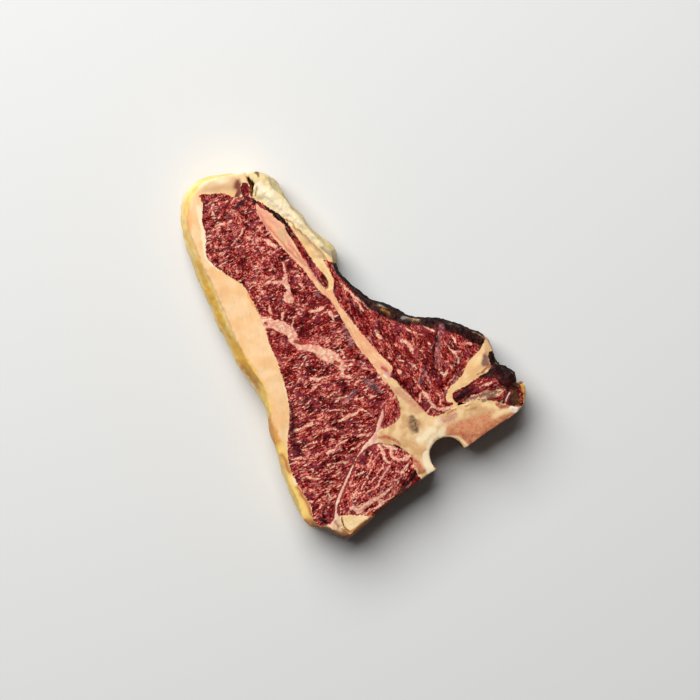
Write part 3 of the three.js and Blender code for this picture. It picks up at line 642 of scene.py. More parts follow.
def roundOff(bm):  # softens the outside and its upper and lower edges
    wall = bm.faces.layers.int["wall"]
    skin, held = set(), set()
    for f in bm.faces:
        if f[wall] == outerWall:
            skin.update(f.verts)
        elif f[wall] == innerWall:
            held.update(f.verts)
    skin -= held
    if not skin:
        return
    near = 0.1
    edge = [v.co.xy for v in skin if v.co.z > steak["level"] - near or v.co.z < near]
    flat = [v for v in bm.verts if v not in skin and v not in held]
    rim = []
    if edge and flat:
        distance, _ = nearestOf([v.co.xy for v in flat], edge)
        rim = [v for v, close in zip(flat, distance < steak["round"]) if close]
    sideways = {"factor": 0.5, "use_axis_x": True, "use_axis_y": True}
    for _ in range(steak["skinPasses"]):
        bmesh.ops.smooth_vert(bm, verts=list(skin), **sideways)
    for _ in range(steak["roundPasses"]):
        bmesh.ops.smooth_vert(bm, verts=[*skin, *rim], use_axis_z=True, **sideways)


farOutside = -99.0  # the depth of a point that no stroke is near


def strokeDepth(points, stroke):  # how deep each point lies inside a stroke, negative outside it
    depth = np.full(len(points), farOutside)
    ends = np.array(stroke, float)
    for start, end in zip(ends[:-1], ends[1:]):
        along = end[:2] - start[:2]
        share = np.clip(((points - start[:2]) @ along) / max(along @ along, 1e-9), 0, 1)
        gap = np.linalg.norm(points - start[:2] - share[:, None] * along, axis=1)
        depth = np.maximum(depth, (start[2] + share * (end[2] - start[2])) / 2 - gap)
    return depth


def smoothStep(value):
    value = np.clip(value, 0, 1)
    return value * value * (3 - 2 * value)


def wallsOf(bm):  # which points lie on walls, and the way out from the inner and the outer ones
    wall = bm.faces.layers.int["wall"]
    count = len(bm.verts)
    ways = {innerWall: np.zeros((count, 3)), outerWall: np.zeros((count, 3))}
    bm.verts.index_update()
    for f in bm.faces:
        if f[wall] != cutFace:
            f.normal_update()
            weight = f.normal * f.calc_area()
            for v in f.verts:
                ways[f[wall]][v.index] += weight
    ways[innerWall][:, 2] = 0
    lengths = {kind: np.linalg.norm(way, axis=1) for kind, way in ways.items()}
    for kind, way in ways.items():
        way /= np.maximum(lengths[kind], 1e-9)[:, None]
    return lengths[innerWall] > 0, lengths[outerWall] > 0, ways[innerWall], ways[outerWall]


def writeValues(mesh, name, values):
    layer = mesh.attributes.new(name, "FLOAT", "POINT")
    layer.data.foreach_set("value", np.asarray(values, np.float32))


def writeColours(mesh, name, values):
    layer = mesh.attributes.new(name, "FLOAT_COLOR", "POINT")
    full = np.ones((len(values), 4), np.float32)
    full[:, :3] = np.asarray(values)[:, :3]
    layer.data.foreach_set("color", full.ravel())


# How stains and the painted sheen lie over one another. A stain's weight grows with its depth, between beyond
# and within
staining = {
    "reach": 5.0,  # how far down the outside a stain runs that says nothing else
    "later": 1.5,  # each stain weighs this much more than the one before
    "within": 0.8,
    "beyond": -9.0,
    "sharp": 0.15,
    "softer": 0.35,
}


# the strokes of painted sheen are weighed and coloured here in the same way as the stains
def stainAndSheenValues(flat, below, walls, stainsAndSheen):  # how strongly each point is stained, and by which colour
    strength = np.zeros(len(flat))
    total = np.full((len(flat), 1), 1e-9)
    mixed = np.zeros((len(flat), 4))
    for order, (name, soft, stroke, *reach) in enumerate(stainsAndSheen):
        depth = strokeDepth(flat, stroke)
        share = np.clip(0.5 + depth / (2 * soft), 0, 1)
        foot = reach[0] if reach else staining["reach"]
        share *= np.where(walls, smoothStep(1.5 - below / foot), 1.0)
        strength = np.maximum(strength, share)
        inside = np.clip(depth, staining["beyond"], staining["within"])
        fading = np.exp(inside / (staining["sharp"] + staining["softer"] * soft))
        weight = (staining["later"] ** order * fading)[:, None]
        mixed += weight * np.array(palette[name])
        total += weight
    return strength, mixed / total


def turnOf(node, other):  # 1 or -1 for the two pieces at a joint, so that both fray along one ragged line
    order = list(pieces)
    return math.copysign(1, order.index(other) - order.index(node)) if other else 0.0


def sideColour(node):  # the middle colour of a piece's outer skin
    return [sum(shade) / 2 for shade in zip(*pieces[node]["skin"])]


# Relief of the cut face: the slow waves of the solid, fine and broad bumps, and the raised marbling
relief = {
    "longWave": 0.35, "alongX": 17.0, "alongY": 23.0, "phase": 1.1,
    "shortWave": 0.2, "diagonal": 9.5,
    "fineSize": 1.9, "broadSize": 7.0, "flesh": (0.2, 0.3), "other": (0.05, 0.2),
    "veinRise": 0.15, "veinSlope": 0.8, "noVein": -4.0,
    "calmRim": 2.0,  # the bumps start this far from the rim
    "underside": 0.4, "underLift": 0.25, "underBumps": 0.5,  # the underside bears on its highest bumps
    "drift": 1.3, "driftSize": 4.5,  # how far strokes wander off their line
    "calmJoint": 4.0,  # the outside's lumps start this far from a joint
    "sawnBelow": -119.0, "sawnLumps": 0.25,  # the saw leaves the backbone's edge nearly level
}

# The outer skin sets in just under the cut face's rim, in two steps: where each starts and how wide it is
skinSteps = ((0.8, 2.5), (3.3, 9.0))


def faceWave(x, y):
    long = relief["longWave"] * np.sin(x / relief["alongX"] + relief["phase"]) * np.sin(y / relief["alongY"])
    return long + relief["shortWave"] * np.sin((x - y) / relief["diagonal"])


def bumpsOf(flat, size, layer):
    return np.array([noise.noise(Vector((px / size, py / size, layer))) for px, py in flat])


def jointValues(node, co, flat, onInner, onOuter):  # how far off each point's joint is, and what is beyond
    look, probe = pieces[node], steak["level"] - reading["probe"]
    upperRim = np.flatnonzero((onInner | onOuter) & (co[:, 2] > probe - 1))
    rim, which = nearestOf(flat, flat[upperRim])
    beside = [neighbourAt(Vector((*flat[i], probe)), node) for i in upperRim]
    edge = rim.copy()
    edgeColour = np.array([rimColours[other or node] for other in beside])[which]
    edgeShare = np.array([turnOf(node, other) for other in beside])[which]
    edge += np.array([pieces[other or node].get("lean", 0.0) for other in beside])[which]
    edge -= look.get("lean", 0.0)
    walls = np.flatnonzero(onOuter & ~onInner)
    joints = [i for i in np.flatnonzero(onOuter & onInner) if neighbourAt(Vector(co[i]), node)]
    if joints and len(walls):
        others = [neighbourAt(Vector(co[i]), node) for i in joints]
        edge[walls], near = nearestOf(co[walls], co[joints])
        edgeColour[walls] = [sideColour(others[i]) for i in near]
        edgeShare[walls] = [turnOf(node, others[i]) for i in near]
    return rim, edge, edgeShare, edgeColour


def lumpOutside(co, flat, look, onInner, onOuter, outward):  # large and small lumps all over the outside
    deep, wide, shallow, narrow = look["lumps"]
    calm = np.ones(len(co))
    if onInner.any():
        calm = smoothStep(nearestOf(flat, flat[onInner])[0] / relief["calmJoint"])
    sawn = np.where(co[:, 1] < relief["sawnBelow"], relief["sawnLumps"], 1.0)
    for i in np.flatnonzero(onOuter & ~onInner):
        p = Vector(co[i])
        lump = deep * noise.noise(p / wide) + shallow * noise.noise(p / narrow + Vector((7, 0, 0)))
        co[i, :2] += outward[i, :2] * lump * calm[i] * sawn[i]


def shape(node):  # the finished mesh of one piece, with the values its material reads
    look, level, marked = pieces[node], steak["level"], marks.get(node, {})
    bm = carve(node)
    roundOff(bm)
    onInner, onOuter, joining, outward = wallsOf(bm)
    co = np.array([v.co for v in bm.verts])
    flat = co[:, :2].copy()
    rim, edge, edgeShare, edgeColour = jointValues(node, co, flat, onInner, onOuter)

    places = [Vector((px, py, 0)) / relief["driftSize"] for px, py in flat]
    drift = [noise.noise_vector(place).xy for place in places]
    wavy = flat + relief["drift"] * np.array(drift)
    veins = np.full(len(co), relief["noVein"])
    for stroke in marked.get("veins", []):
        veins = np.maximum(veins, strokeDepth(wavy, stroke))

    muscle = look["slot"] == "red_meat"
    swell = look["rim"] + (look["crown"] - look["rim"]) * smoothStep(rim / look["reach"])
    fine, broad = look.get("relief", relief["flesh"] if muscle else relief["other"])
    rough = fine * bumpsOf(flat, relief["fineSize"], 3) + broad * bumpsOf(flat, relief["broadSize"], 9)
    rough += relief["veinRise"] * smoothStep(veins / relief["veinSlope"]) * muscle
    below = level - co[:, 2]
    skin = np.where(onOuter, sum(smoothStep((below - start) / width) for start, width in skinSteps), 0.0)
    # these values hold the real stains and the strokes of painted sheen together
    stain, stainAndSheenColour = stainAndSheenValues(wavy, below, onOuter, marked.get("stainsAndSheen", []))
    calm = smoothStep(rim / relief["calmRim"])
    rise = faceWave(*flat.T) + swell + rough * calm
    co[:, 2] += np.clip(co[:, 2] / level, 0, 1) ** 2 * rise
    lower = (co[:, 2] < relief["underside"]) & ~onOuter & ~onInner
    lift = np.maximum(0, relief["underLift"] + relief["underBumps"] * rough[lower])
    co[lower, 2] += lift * calm[lower]
    if onOuter.any():
        lumpOutside(co, flat, look, onInner, onOuter, outward)
    co += joining * steak["gap"] / 2
    co[:, 2] = np.maximum(co[:, 2], 0)

    wall = bm.faces.layers.int["wall"]
    for v, place in zip(bm.verts, co):
        v.co = place
    for f in bm.faces:
        f.smooth = True
    for e in bm.edges:
        kinds = {f[wall] for f in e.link_faces}
        e.smooth = not (innerWall in kinds and len(kinds) > 1)
    bmesh.ops.scale(bm, vec=(mm,) * 3, verts=bm.verts)
    first, *rest = node.split("_")
    name = first + "".join(word.title() for word in rest)
    mesh = bpy.data.meshes.new(name)
    bm.to_mesh(mesh)
    bm.free()
    values = {"edge": edge, "edgeShare": edgeShare, "veins": veins, "stain": stain, "skin": skin}
    for key in values:
        writeValues(mesh, key, values[key])
    writeColours(mesh, "edgeColour", edgeColour)
    writeColours(mesh, "stainAndSheenColour", stainAndSheenColour)
    return bpy.data.objects.new(name, mesh)


# Shader helpers: each adds to a material's tree and gives back what the last node puts out
def add(tree, kind, sockets, **settings):  # one node, with its sockets set or linked
    made = tree.nodes.new("ShaderNode" + kind)
    for key, value in settings.items():
        setattr(made, key, value)
    for key, value in sockets.items():
        if isinstance(value, bpy.types.NodeSocket):
            tree.links.new(value, made.inputs[key])
        else:
            made.inputs[key].default_value = value
    return made


def maths(tree, operation, a, b=0.0):
    return add(tree, "Math", {0: a, 1: b}, operation=operation).outputs[0]


def plus(tree, a, b):
    return maths(tree, "ADD", a, b)


def times(tree, a, b):
    return maths(tree, "MULTIPLY", a, b)


def centred(tree, value):  # a pattern's ups and downs, from -0.5 to 0.5
    return maths(tree, "SUBTRACT", value, 0.5)


def opposite(tree, share):
    return maths(tree, "SUBTRACT", 1.0, share)


def fade(tree, value, low, high):  # 0 at low, 1 at high
    sockets = {"Value": value, "From Min": low, "From Max": high}
    return add(tree, "MapRange", sockets, interpolation_type="SMOOTHSTEP").outputs[0]


def mix(tree, share, a, b):
    return add(tree, "MixRGB", {"Fac": share, "Color1": a, "Color2": b}).outputs[0]


def over(tree, base, share, strength, shade):  # a colour laid over the base
    return mix(tree, times(tree, share, strength), base, shade)


def stored(tree, name):
    return add(tree, "Attribute", {}, attribute_name=name).outputs["Fac"]


def painted(tree, name):
    return add(tree, "Attribute", {}, attribute_name=name).outputs["Color"]


def dimmed(tree, shade, share):  # a colour made darker or lighter
    return add(tree, "VectorMath", {0: shade, 3: share}, operation="SCALE").outputs[0]


def millimetres(tree):
    coords = add(tree, "TexCoord", {}).outputs["Object"]
    return add(tree, "VectorMath", {0: coords, 3: 1 / mm}, operation="SCALE").outputs[0]


def heightAlong(tree, place, axis):
    return add(tree, "SeparateXYZ", {"Vector": place}).outputs[axis]


def laid(tree, place, size, turn, stretch, shift):  # a pattern's own coordinates, size millimetres to one
    sockets = {
        "Vector": place,
        "Location": (shift, shift, shift),
        "Rotation": (0, 0, math.radians(turn)),
        "Scale": tuple(size * s for s in stretch),
    }
    return add(tree, "Mapping", sockets, vector_type="TEXTURE").outputs[0]


def cloud(tree, place, size, detail=2.0, turn=0, stretch=(1, 1, 1), shift=0, coarse=0.5, out="Fac"):
    at = laid(tree, place, size, turn, stretch, shift)
    sockets = {"Vector": at, "Scale": 1.0, "Detail": detail, "Roughness": coarse}
    return add(tree, "TexNoise", sockets).outputs[out]


def patches(tree, place, span, **settings):  # a cloud that fades in between two of its values
    return fade(tree, cloud(tree, place, **settings), *span)


def threads(tree, place, size, span, turn=0, stretch=(1, 1, 1), shift=0):  # the threads of a net of cells
    at = laid(tree, place, size, turn, stretch, shift)
    made = add(tree, "TexVoronoi", {"Vector": at, "Scale": 1.0}, feature="DISTANCE_TO_EDGE")
    return opposite(tree, fade(tree, made.outputs["Distance"], *span))


def wavered(tree, place, size, reach, shift=0):  # the place, moved about by a cloud
    drift = cloud(tree, place, size, 1.0, shift=shift, out="Color")
    swing = add(tree, "VectorMath", {0: drift, 1: (0.5, 0.5, 0.5)}, operation="SUBTRACT").outputs[0]
    moved = add(tree, "VectorMath", {0: swing, 3: reach * 2}, operation="SCALE").outputs[0]
    return add(tree, "VectorMath", {0: place, 1: moved}, operation="ADD").outputs[0]


def shades(tree, share, stops):  # a colour ramp
    ramp = add(tree, "ValToRGB", {"Fac": share})
    elements = ramp.color_ramp.elements
    elements[0].position, elements[0].color = stops[0]
    elements[1].position, elements[1].color = stops[-1]
    for position, shade in stops[1:-1]:
        elements.new(position).color = shade
    return ramp.outputs[0]


def shaken(tree, value, place, size, reach, shift=0, detail=2.0):  # a value with a cloud's ups and downs
    ups = centred(tree, cloud(tree, place, size, detail, shift=shift))
    return plus(tree, value, times(tree, ups, 2 * reach))


# The numbers of a cloud: its size in millimetres, its detail, a shift that picks one cloud from another, and
# coarse for strong small detail. A span names the two values between which it fades in
edges = {
    "stain": {"reach": 0.3, "shift": 31, "detail": 4.0},
    "stainSpan": (0.18, 0.82),
    "stainStrength": 0.92,
    "fine": {"size": 1.7, "detail": 4.0, "shift": 11, "coarse": 0.6},
    "broad": {"size": 6.0, "detail": 4.0, "shift": 17, "coarse": 0.6},
    "broadReach": 14.0,  # on the outside, joints wander further than on the cut face
    "blur": 0.25,
    "mottled": 2.6,  # how much lighter and darker the neighbour's colour gets
}


# lays the painted sheen over the base as well, since it is stored with the stains
def withStainsAndSheen(tree, place, base, grain, shade=1.0, within=1.0):  # the stains painted over a base colour
    share = shaken(tree, stored(tree, "stain"), place, grain, **edges["stain"])
    share = times(tree, fade(tree, share, *edges["stainSpan"]), edges["stainStrength"])
    share = times(tree, share, within)
    return mix(tree, share, base, dimmed(tree, painted(tree, "stainAndSheenColour"), shade))


def frayed(tree, place, base, ragged):  # the ragged line along which two pieces' colours meet
    ups = centred(tree, cloud(tree, place, **edges["fine"]))
    broad = centred(tree, cloud(tree, place, **edges["broad"]))
    side = stored(tree, "edgeShare")
    wander = times(tree, times(tree, broad, stored(tree, "skin")), edges["broadReach"])
    wander = plus(tree, wander, times(tree, ups, 2 * ragged))
    depth = maths(tree, "SUBTRACT", stored(tree, "edge"), times(tree, wander, side))
    share = opposite(tree, fade(tree, depth, -edges["blur"], edges["blur"]))
    share = times(tree, share, maths(tree, "ABSOLUTE", side))
    shade = plus(tree, times(tree, ups, edges["mottled"]), 1.0)
    return mix(tree, share, base, dimmed(tree, painted(tree, "edgeColour"), shade))


def skinShare(tree, place, size, reach, span):  # 1 on the outer skin, with an uneven rim
    return fade(tree, shaken(tree, stored(tree, "skin"), place, size, reach, shift=90), *span)


def sheen(tree, shader, place, size, rough, spread, specular):  # how dull the surface is, in patches
    shader.inputs["Specular IOR Level"].default_value = specular
    dull = patches(tree, place, (0.3, 0.7), size=size, detail=3.0, shift=44)
    return plus(tree, times(tree, dull, spread), rough)


def bumped(tree, shader, heights):  # bumps of a strength and a depth in millimetres, one on another
    normal = None
    for height, strength, depth in heights:
        sockets = {"Height": height, "Strength": strength, "Distance": depth * mm}
        if normal:
            sockets["Normal"] = normal
        normal = add(tree, "Bump", sockets).outputs[0]
    tree.links.new(normal, shader.inputs["Normal"])


def newMaterial(name):
    material = bpy.data.materials.new(name)
    material.use_nodes = True
    return material, material.node_tree, material.node_tree.nodes["Principled BSDF"]


# Colours of the flesh, those that are laid over it with their strength, and the painted shade in its cracks
flesh = {
    "tones": [
        (0.36, colour(54, 0, 2)), (0.44, colour(106, 7, 9)), (0.50, colour(152, 32, 30)),
        (0.56, colour(194, 78, 68)), (0.62, colour(230, 136, 116)), (0.70, colour(252, 194, 166)),
    ],
    "pale": colour(246, 194, 168),
    "vein": (colour(252, 214, 180), colour(238, 158, 136)),
    "veinStrength": 0.92,
    "purple": (0.45, colour(142, 62, 78)),
    # painted shade: a near-black red laid into the cracks, which the bump also sinks
    "paintedCreaseShade": (0.75, colour(44, 1, 4)),
    "halo": (0.45, colour(190, 70, 60)),
    "skinFleck": 0.6,
}

fleshPatterns = {
    "bend": {"size": 7, "reach": 1.6},
    "grain": {"size": 1.15, "coarse": 0.8},
    "bundle": {"size": 2.6, "shift": 41},
    "evenBundle": {"size": 3.2, "shift": 42},
    "patch": {"size": 9, "shift": 70},
    "grainShare": 0.72, "bundleShare": 0.45, "lift": 0.14,
    "purple": {"size": 5, "detail": 3.0, "shift": 28, "span": (0.48, 0.70)},
    "flecks": {"size": 1.3, "detail": 3.0, "shift": 50, "span": (0.565, 0.64)},
    "fleckPlaces": {"size": 5, "detail": 1.0, "shift": 20, "span": (0.40, 0.58)},
    "shadedCracks": {"size": 4.5, "span": (0.0, 0.09)},
    "crackPlaces": {"size": 4, "detail": 1.0, "shift": 25, "span": (0.46, 0.62)},
    "veinFrays": {"size": 1.2, "reach": 1.3, "shift": 5, "detail": 3.0},
    "veinBends": {"size": 4.5, "reach": 1.0, "shift": 6, "detail": 1.0},
    "veinTones": {"size": 1.9, "detail": 3.0, "shift": 80, "span": (0.38, 0.60)},
    "haloSpan": (-0.9, 0.2), "veinSpan": (0.0, 0.42),
    "skin": {"size": 3, "reach": 0.3, "span": (0.2, 0.6)},
    "crust": {
        "size": 3.6, "detail": 5.0, "stretch": (1.3, 1.3, 0.8), "shift": 33, "coarse": 0.6,
        "span": (0.32, 0.72),
    },
    "skinFlecks": {"size": 2.2, "detail": 4.0, "shift": 73, "span": (0.62, 0.74)},
    "wrinkle": {"size": 2.0, "detail": 4.0, "shift": 12},
    "fibreSpan": (0.42, 0.60), "fibreShade": 1.2, "leastShade": 0.4,  # the fibres show through the stains
    "stainGrain": 1.6, "ragged": 0.9,
    "sheen": {"size": 2.6, "rough": 0.34, "spread": 0.22, "specular": 0.07}, "drySkin": 0.3,
    "bumps": {"grain": (0.4, 0.5), "shadedCracks": (0.5, -0.5), "vein": (0.3, 0.2), "wrinkle": (0.9, 1.6)},
}


def alongFibres(look):  # how long and short patterns are turned and stretched along the fibres
    turn, length = look["fibre"]
    return {"turn": turn, "stretch": (length, 1, 2.5)}, {"turn": turn, "stretch": (math.sqrt(length), 1, 2)}


def fibresOf(tree, place, bent, look):  # the fibres' grain, and the tone it makes with bundles and patches
    use = fleshPatterns
    long, short = alongFibres(look)
    grain = cloud(tree, bent, **short, **use["grain"])
    bundle = cloud(tree, bent, **long, **use["bundle"])
    if "even" in look:  # above this height on the cut face the grain runs no way in particular
        upper = fade(tree, heightAlong(tree, place, "Y"), *look["even"])
        grain = mix(tree, upper, grain, cloud(tree, bent, **use["grain"]))
        bundle = mix(tree, upper, bundle, cloud(tree, bent, **use["evenBundle"]))
    tone = plus(tree, times(tree, grain, use["grainShare"]), use["lift"])
    tone = plus(tree, tone, times(tree, centred(tree, bundle), use["bundleShare"]))
    patch = centred(tree, cloud(tree, place, **use["patch"]))
    tone = plus(tree, tone, times(tree, patch, look["patchy"]))
    tone = plus(tree, times(tree, centred(tree, tone), look["contrast"]), 0.5)
    return grain, plus(tree, tone, look["tone"])


def fleshMaterial(name, look):
    material, tree, shader = newMaterial(name + "Flesh")
    use = fleshPatterns
    place = millimetres(tree)
    bent = wavered(tree, place, **use["bend"])
    long, short = alongFibres(look)
    grain, tone = fibresOf(tree, place, bent, look)
    base = shades(tree, tone, flesh["tones"])
    purple = patches(tree, bent, **short, **use["purple"])
    base = over(tree, base, purple, *flesh["purple"])
    flecks = patches(tree, bent, **long, **use["flecks"])
    flecks = times(tree, flecks, patches(tree, place, **use["fleckPlaces"]))
    base = over(tree, base, flecks, look["pale"], flesh["pale"])
    # the cracks are sunk by a bump and also darkened by painted shade
    shadedCracks = threads(tree, bent, **long, **use["shadedCracks"])
    shadedCracks = times(tree, shadedCracks, patches(tree, place, **use["crackPlaces"]))
    base = over(tree, base, shadedCracks, *flesh["paintedCreaseShade"])
    depth = shaken(tree, stored(tree, "veins"), place, **use["veinFrays"])
    depth = shaken(tree, depth, place, **use["veinBends"])
    halo = fade(tree, depth, *use["haloSpan"])
    vein = fade(tree, depth, *use["veinSpan"])
    veinColour = mix(tree, patches(tree, place, **use["veinTones"]), *flesh["vein"])
    base = over(tree, base, halo, *flesh["halo"])
    base = over(tree, base, vein, flesh["veinStrength"], veinColour)
    skin = skinShare(tree, place, **use["skin"])
    outer = mix(tree, patches(tree, bent, **use["crust"]), *look["skin"])
    outer = over(tree, outer, patches(tree, bent, **use["skinFlecks"]), flesh["skinFleck"], look["fleck"])
    base = mix(tree, skin, base, outer)
    fibres = fade(tree, tone, *use["fibreSpan"])
    shade = plus(tree, times(tree, fibres, use["fibreShade"]), use["leastShade"])
    base = withStainsAndSheen(tree, place, base, use["stainGrain"], shade)
    base = frayed(tree, place, base, use["ragged"])
    tree.links.new(base, shader.inputs["Base Color"])
    rough = sheen(tree, shader, place, **use["sheen"])
    rough = plus(tree, rough, times(tree, skin, use["drySkin"]))
    tree.links.new(rough, shader.inputs["Roughness"])
    wrinkle = times(tree, cloud(tree, bent, **use["wrinkle"]), skin)
    heights = {"grain": grain, "shadedCracks": shadedCracks, "vein": vein, "wrinkle": wrinkle}
    bumped(tree, shader, [(height, *use["bumps"][key]) for key, height in heights.items()])
    return material


fatPatterns = {
    "bend": {"size": 9, "reach": 1.5},
    "tones": {"detail": 3.0, "shift": 4, "span": (0.35, 0.65)},
    "streaks": {"size": 1.3, "detail": 3.0, "shift": 60, "span": (0.35, 0.7)},
    "lobeBend": {"size": 4, "reach": 2.2, "shift": 55},
    "membranes": {"stretch": (1.7, 1, 1), "shift": 8, "span": (0.0, 0.1)},
    "membranePlaces": {"size": 6, "shift": 57, "span": (0.38, 0.58)},
    "skin": {"size": 5, "reach": 0.35, "span": (0.05, 0.95)},
    "skinTones": {"size": 9, "detail": 5.0, "shift": 33, "span": (0.30, 0.70)},
    "skinFlecks": {"size": 3.0, "detail": 4.0, "shift": 73, "span": (0.58, 0.76)},
    "blotches": {"size": 13, "detail": 4.0, "stretch": (1.6, 1.6, 0.8), "shift": 35, "span": (0.46, 0.68)},
    "foot": {"size": 9, "reach": 9.0, "shift": 37}, "footSpan": (16.0, 2.0),
    "strengths": {"skinFlecks": 0.35, "blotches": 0.6, "foot": 0.7},
    "stainGrain": 2.4, "ragged": 0.9,
    "sheen": {"size": 3.4, "spread": 0.2, "specular": 0.2},
    "soft": {"size": 3.5, "stretch": (2, 1, 1), "shift": 15},
    "fine": {"size": 0.9, "detail": 3.0, "shift": 21},
    "wrinkle": {"size": 2.6, "detail": 4.0, "shift": 12},
    "bumps": {"soft": (0.35, 0.7), "fine": (0.2, 0.2), "wrinkle": (0.3, 1.0), "seams": (0.3, -0.3)},
}


def fatSkin(tree, place, bent, look):  # the colours of the fat's outside, darker towards its foot
    use, strengths = fatPatterns, fatPatterns["strengths"]
    outer = mix(tree, patches(tree, bent, **use["skinTones"]), *look["skin"])
    flecks = patches(tree, bent, **use["skinFlecks"])
    outer = over(tree, outer, flecks, strengths["skinFlecks"], look["fleck"])
    blotches = patches(tree, bent, **use["blotches"])
    blotchColour = look.get("blotchColour", look["skin"][1])
    outer = over(tree, outer, blotches, strengths["blotches"], blotchColour)
    height = shaken(tree, heightAlong(tree, place, "Z"), place, **use["foot"])
    return over(tree, outer, fade(tree, height, *use["footSpan"]), strengths["foot"], look["fleck"])


def fatMaterial(name, look):
    material, tree, shader = newMaterial(name + "Fat")
    use = fatPatterns
    place = millimetres(tree)
    bent = wavered(tree, place, **use["bend"])
    turn, length = look["fibre"]
    base = mix(tree, patches(tree, bent, size=look["size"], **use["tones"]), *look["tones"])
    streaks = patches(tree, bent, turn=turn, stretch=(length, 1, 3), **use["streaks"])
    base = over(tree, base, streaks, look["streak"], look["streakColour"])
    lobes = {}
    if "lobes" in look:  # membranes between the lobes of the fat
        size, strength, shade = look["lobes"]
        warped = wavered(tree, place, **use["lobeBend"])
        seams = threads(tree, warped, size, turn=turn, **use["membranes"])
        seams = times(tree, seams, patches(tree, place, **use["membranePlaces"]))
        base = over(tree, base, seams, strength, shade)
        lobes["seams"] = seams
    skin = skinShare(tree, place, **use["skin"])
    base = mix(tree, skin, base, fatSkin(tree, place, bent, look))
    base = withStainsAndSheen(tree, place, base, use["stainGrain"])
    base = frayed(tree, place, base, use["ragged"])
    base = withStainsAndSheen(tree, place, base, use["stainGrain"], within=skin)
    tree.links.new(base, shader.inputs["Base Color"])
    rough = sheen(tree, shader, place, rough=look["rough"], **use["sheen"])
    tree.links.new(rough, shader.inputs["Roughness"])
    heights = {
        "soft": cloud(tree, bent, turn=turn, **use["soft"]),
        "fine": cloud(tree, place, **use["fine"]),
        "wrinkle": times(tree, cloud(tree, bent, **use["wrinkle"]), skin),
        **lobes,
    }
    bumped(tree, shader, [(height, *use["bumps"][key]) for key, height in heights.items()])
    return material


bonePatterns = {
    "bend": {"size": 6, "reach": 1.2},
    "tones": {"size": 7, "detail": 4.0, "span": (0.36, 0.64)},
    "mottles": {"size": 1.6, "detail": 3.0, "shift": 9, "span": (0.5, 0.75)},
    "mottleColour": (0.35, colour(214, 170, 118)),
    "spongySpan": (0.25, 0.7), "darkSpan": (0.6, 0.4),  # only the darker stains are spongy
    "marrow": {"size": 3.2, "detail": 3.0, "shift": 71, "coarse": 0.6, "span": (0.44, 0.62)},
    "marrowColour": (0.6, colour(232, 182, 122)),
    "pores": {"size": 1.15, "shift": 3, "span": (0.05, 0.3)}, "poreShare": 0.6,
    "holes": {"size": 2.3, "detail": 3.0, "shift": 66, "coarse": 0.65, "span": (0.50, 0.62)},
    "holeTint": (0.78, 0.32, 0.26), "holeStrength": 0.7,  # holes take the stain's colour, deeper and redder
    "skin": {"size": 3, "reach": 0.3, "span": (0.15, 0.6)},
    "crust": {
        "size": 4.5, "detail": 5.0, "stretch": (1.3, 1.3, 0.7), "shift": 33, "coarse": 0.6,
        "span": (0.30, 0.70),
    },
    "stainGrain": 1.6, "ragged": 0.7,
    "sheen": {"size": 3.0, "spread": 0.2, "specular": 0.2},
    "fine": {"size": 0.9, "detail": 3.0, "shift": 21},
    "bumps": {"fine": (0.3, 0.3), "spots": (0.4, -0.3)},
}


def spongyBone(tree, bent, base):  # pale marrow and red holes in the darker stains, and where the holes are
    use = bonePatterns
    stainAndSheenColour = painted(tree, "stainAndSheenColour")
    lightness = add(tree, "RGBToBW", {"Color": stainAndSheenColour}).outputs[0]
    spongy = fade(tree, stored(tree, "stain"), *use["spongySpan"])
    spongy = times(tree, spongy, fade(tree, lightness, *use["darkSpan"]))
    marrow = times(tree, patches(tree, bent, **use["marrow"]), spongy)
    base = over(tree, base, marrow, *use["marrowColour"])
    pores = times(tree, threads(tree, bent, **use["pores"]), use["poreShare"])
    holes = patches(tree, bent, **use["holes"])
    spots = times(tree, maths(tree, "MAXIMUM", pores, holes), spongy)
    deeper = {0: stainAndSheenColour, 1: use["holeTint"]}
    deeper = add(tree, "VectorMath", deeper, operation="MULTIPLY").outputs[0]
    return over(tree, base, spots, use["holeStrength"], deeper), spots


def boneMaterial(name, look):
    material, tree, shader = newMaterial(name + "Bone")
    use = bonePatterns
    place = millimetres(tree)
    bent = wavered(tree, place, **use["bend"])
    base = mix(tree, patches(tree, bent, **use["tones"]), *look["tones"])
    base = over(tree, base, patches(tree, bent, **use["mottles"]), *use["mottleColour"])
    base = withStainsAndSheen(tree, place, base, use["stainGrain"])
    base, spots = spongyBone(tree, bent, base)
    skin = skinShare(tree, place, **use["skin"])
    outer = mix(tree, patches(tree, bent, **use["crust"]), *look["skin"])
    base = mix(tree, skin, base, outer)
    base = frayed(tree, place, base, use["ragged"])
    base = withStainsAndSheen(tree, place, base, use["stainGrain"], within=skin)
    tree.links.new(base, shader.inputs["Base Color"])
    rough = sheen(tree, shader, place, rough=look["rough"], **use["sheen"])
    tree.links.new(rough, shader.inputs["Roughness"])
    heights = {"fine": cloud(tree, place, **use["fine"]), "spots": spots}
    bumped(tree, shader, [(height, *use["bumps"][key]) for key, height in heights.items()])
    return material


makers = {"flesh": fleshMaterial, "fat": fatMaterial, "bone": boneMaterial}


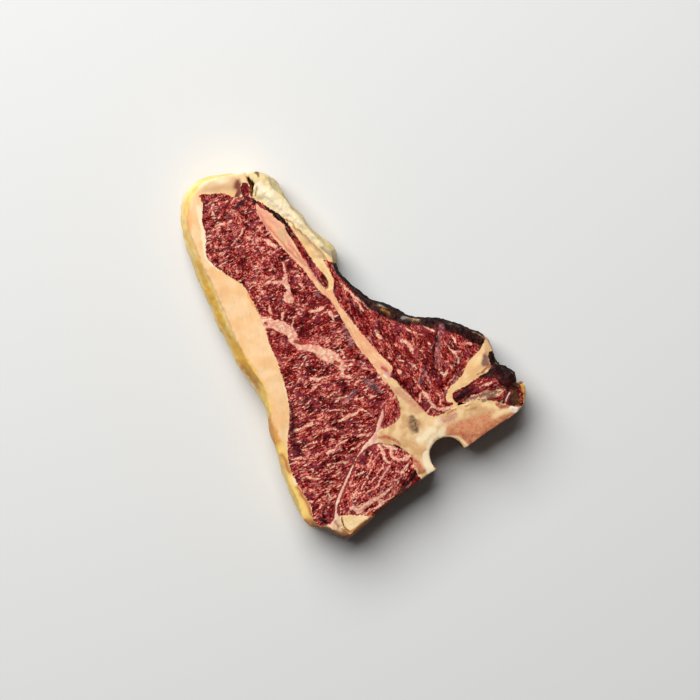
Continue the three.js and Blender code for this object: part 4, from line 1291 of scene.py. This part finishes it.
def finish(node, look):  # one piece, shaped, coloured and handed over in place of its node
    piece = shape(node)
    bpy.context.scene.collection.objects.link(piece)
    piece.data.materials.append(makers[look["finish"]](piece.name, look))
    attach(piece, "root")
    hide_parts(node)
    print(node, len(piece.data.polygons), "faces")


for node, look in pieces.items():
    finish(node, look)
print("pieces finished")

# A plain pale floor, wide enough for the camera's view
floor = {"size": 2.0, "colour": colour(228, 228, 226), "rough": 0.6}
floorShape = bmesh.new()
bmesh.ops.create_grid(floorShape, x_segments=1, y_segments=1, size=floor["size"])
floorMesh = bpy.data.meshes.new("floor")
floorShape.to_mesh(floorMesh)
floorShape.free()
floorPiece = bpy.data.objects.new("floor", floorMesh)
bpy.context.scene.collection.objects.link(floorPiece)
floorMaterial, floorTree, floorShader = newMaterial("paleFloor")
floorShader.inputs["Base Color"].default_value = floor["colour"]
floorShader.inputs["Roughness"].default_value = floor["rough"]
floorMesh.materials.append(floorMaterial)
print("floor laid")

# Straight down on the cut face, turned as in the picture
view = {"lens": 99.8, "middle": (7.46, -26.71), "height": 1336.0, "turn": -37.5}
camera = bpy.data.objects.new("camera", bpy.data.cameras.new("camera"))
bpy.context.scene.collection.objects.link(camera)
camera.data.lens = view["lens"]
camera.location = [v * mm for v in (*view["middle"], view["height"])]
camera.rotation_euler = (0, 0, math.radians(view["turn"]))
bpy.context.scene.camera = camera
print("camera placed")

# One large soft light from the fat side, high up, and an even sky; its size and place are in metres
light = {"size": 2.6, "power": 134.0, "place": (0.28, 1.89, 2.3), "sky": 0.05}
key = bpy.data.objects.new("key", bpy.data.lights.new("key", "AREA"))
bpy.context.scene.collection.objects.link(key)
key.data.size = light["size"]
key.data.energy = light["power"]
key.location = light["place"]
key.rotation_euler = (-key.location).to_track_quat("-Z", "Y").to_euler()
world = bpy.data.worlds.new("studio")
world.use_nodes = True
sky = world.node_tree.nodes["Background"]
sky.inputs["Color"].default_value = (1, 1, 1, 1)
sky.inputs["Strength"].default_value = light["sky"]
bpy.context.scene.world = world
bpy.context.scene.view_settings.view_transform = "Standard"
print("light placed")
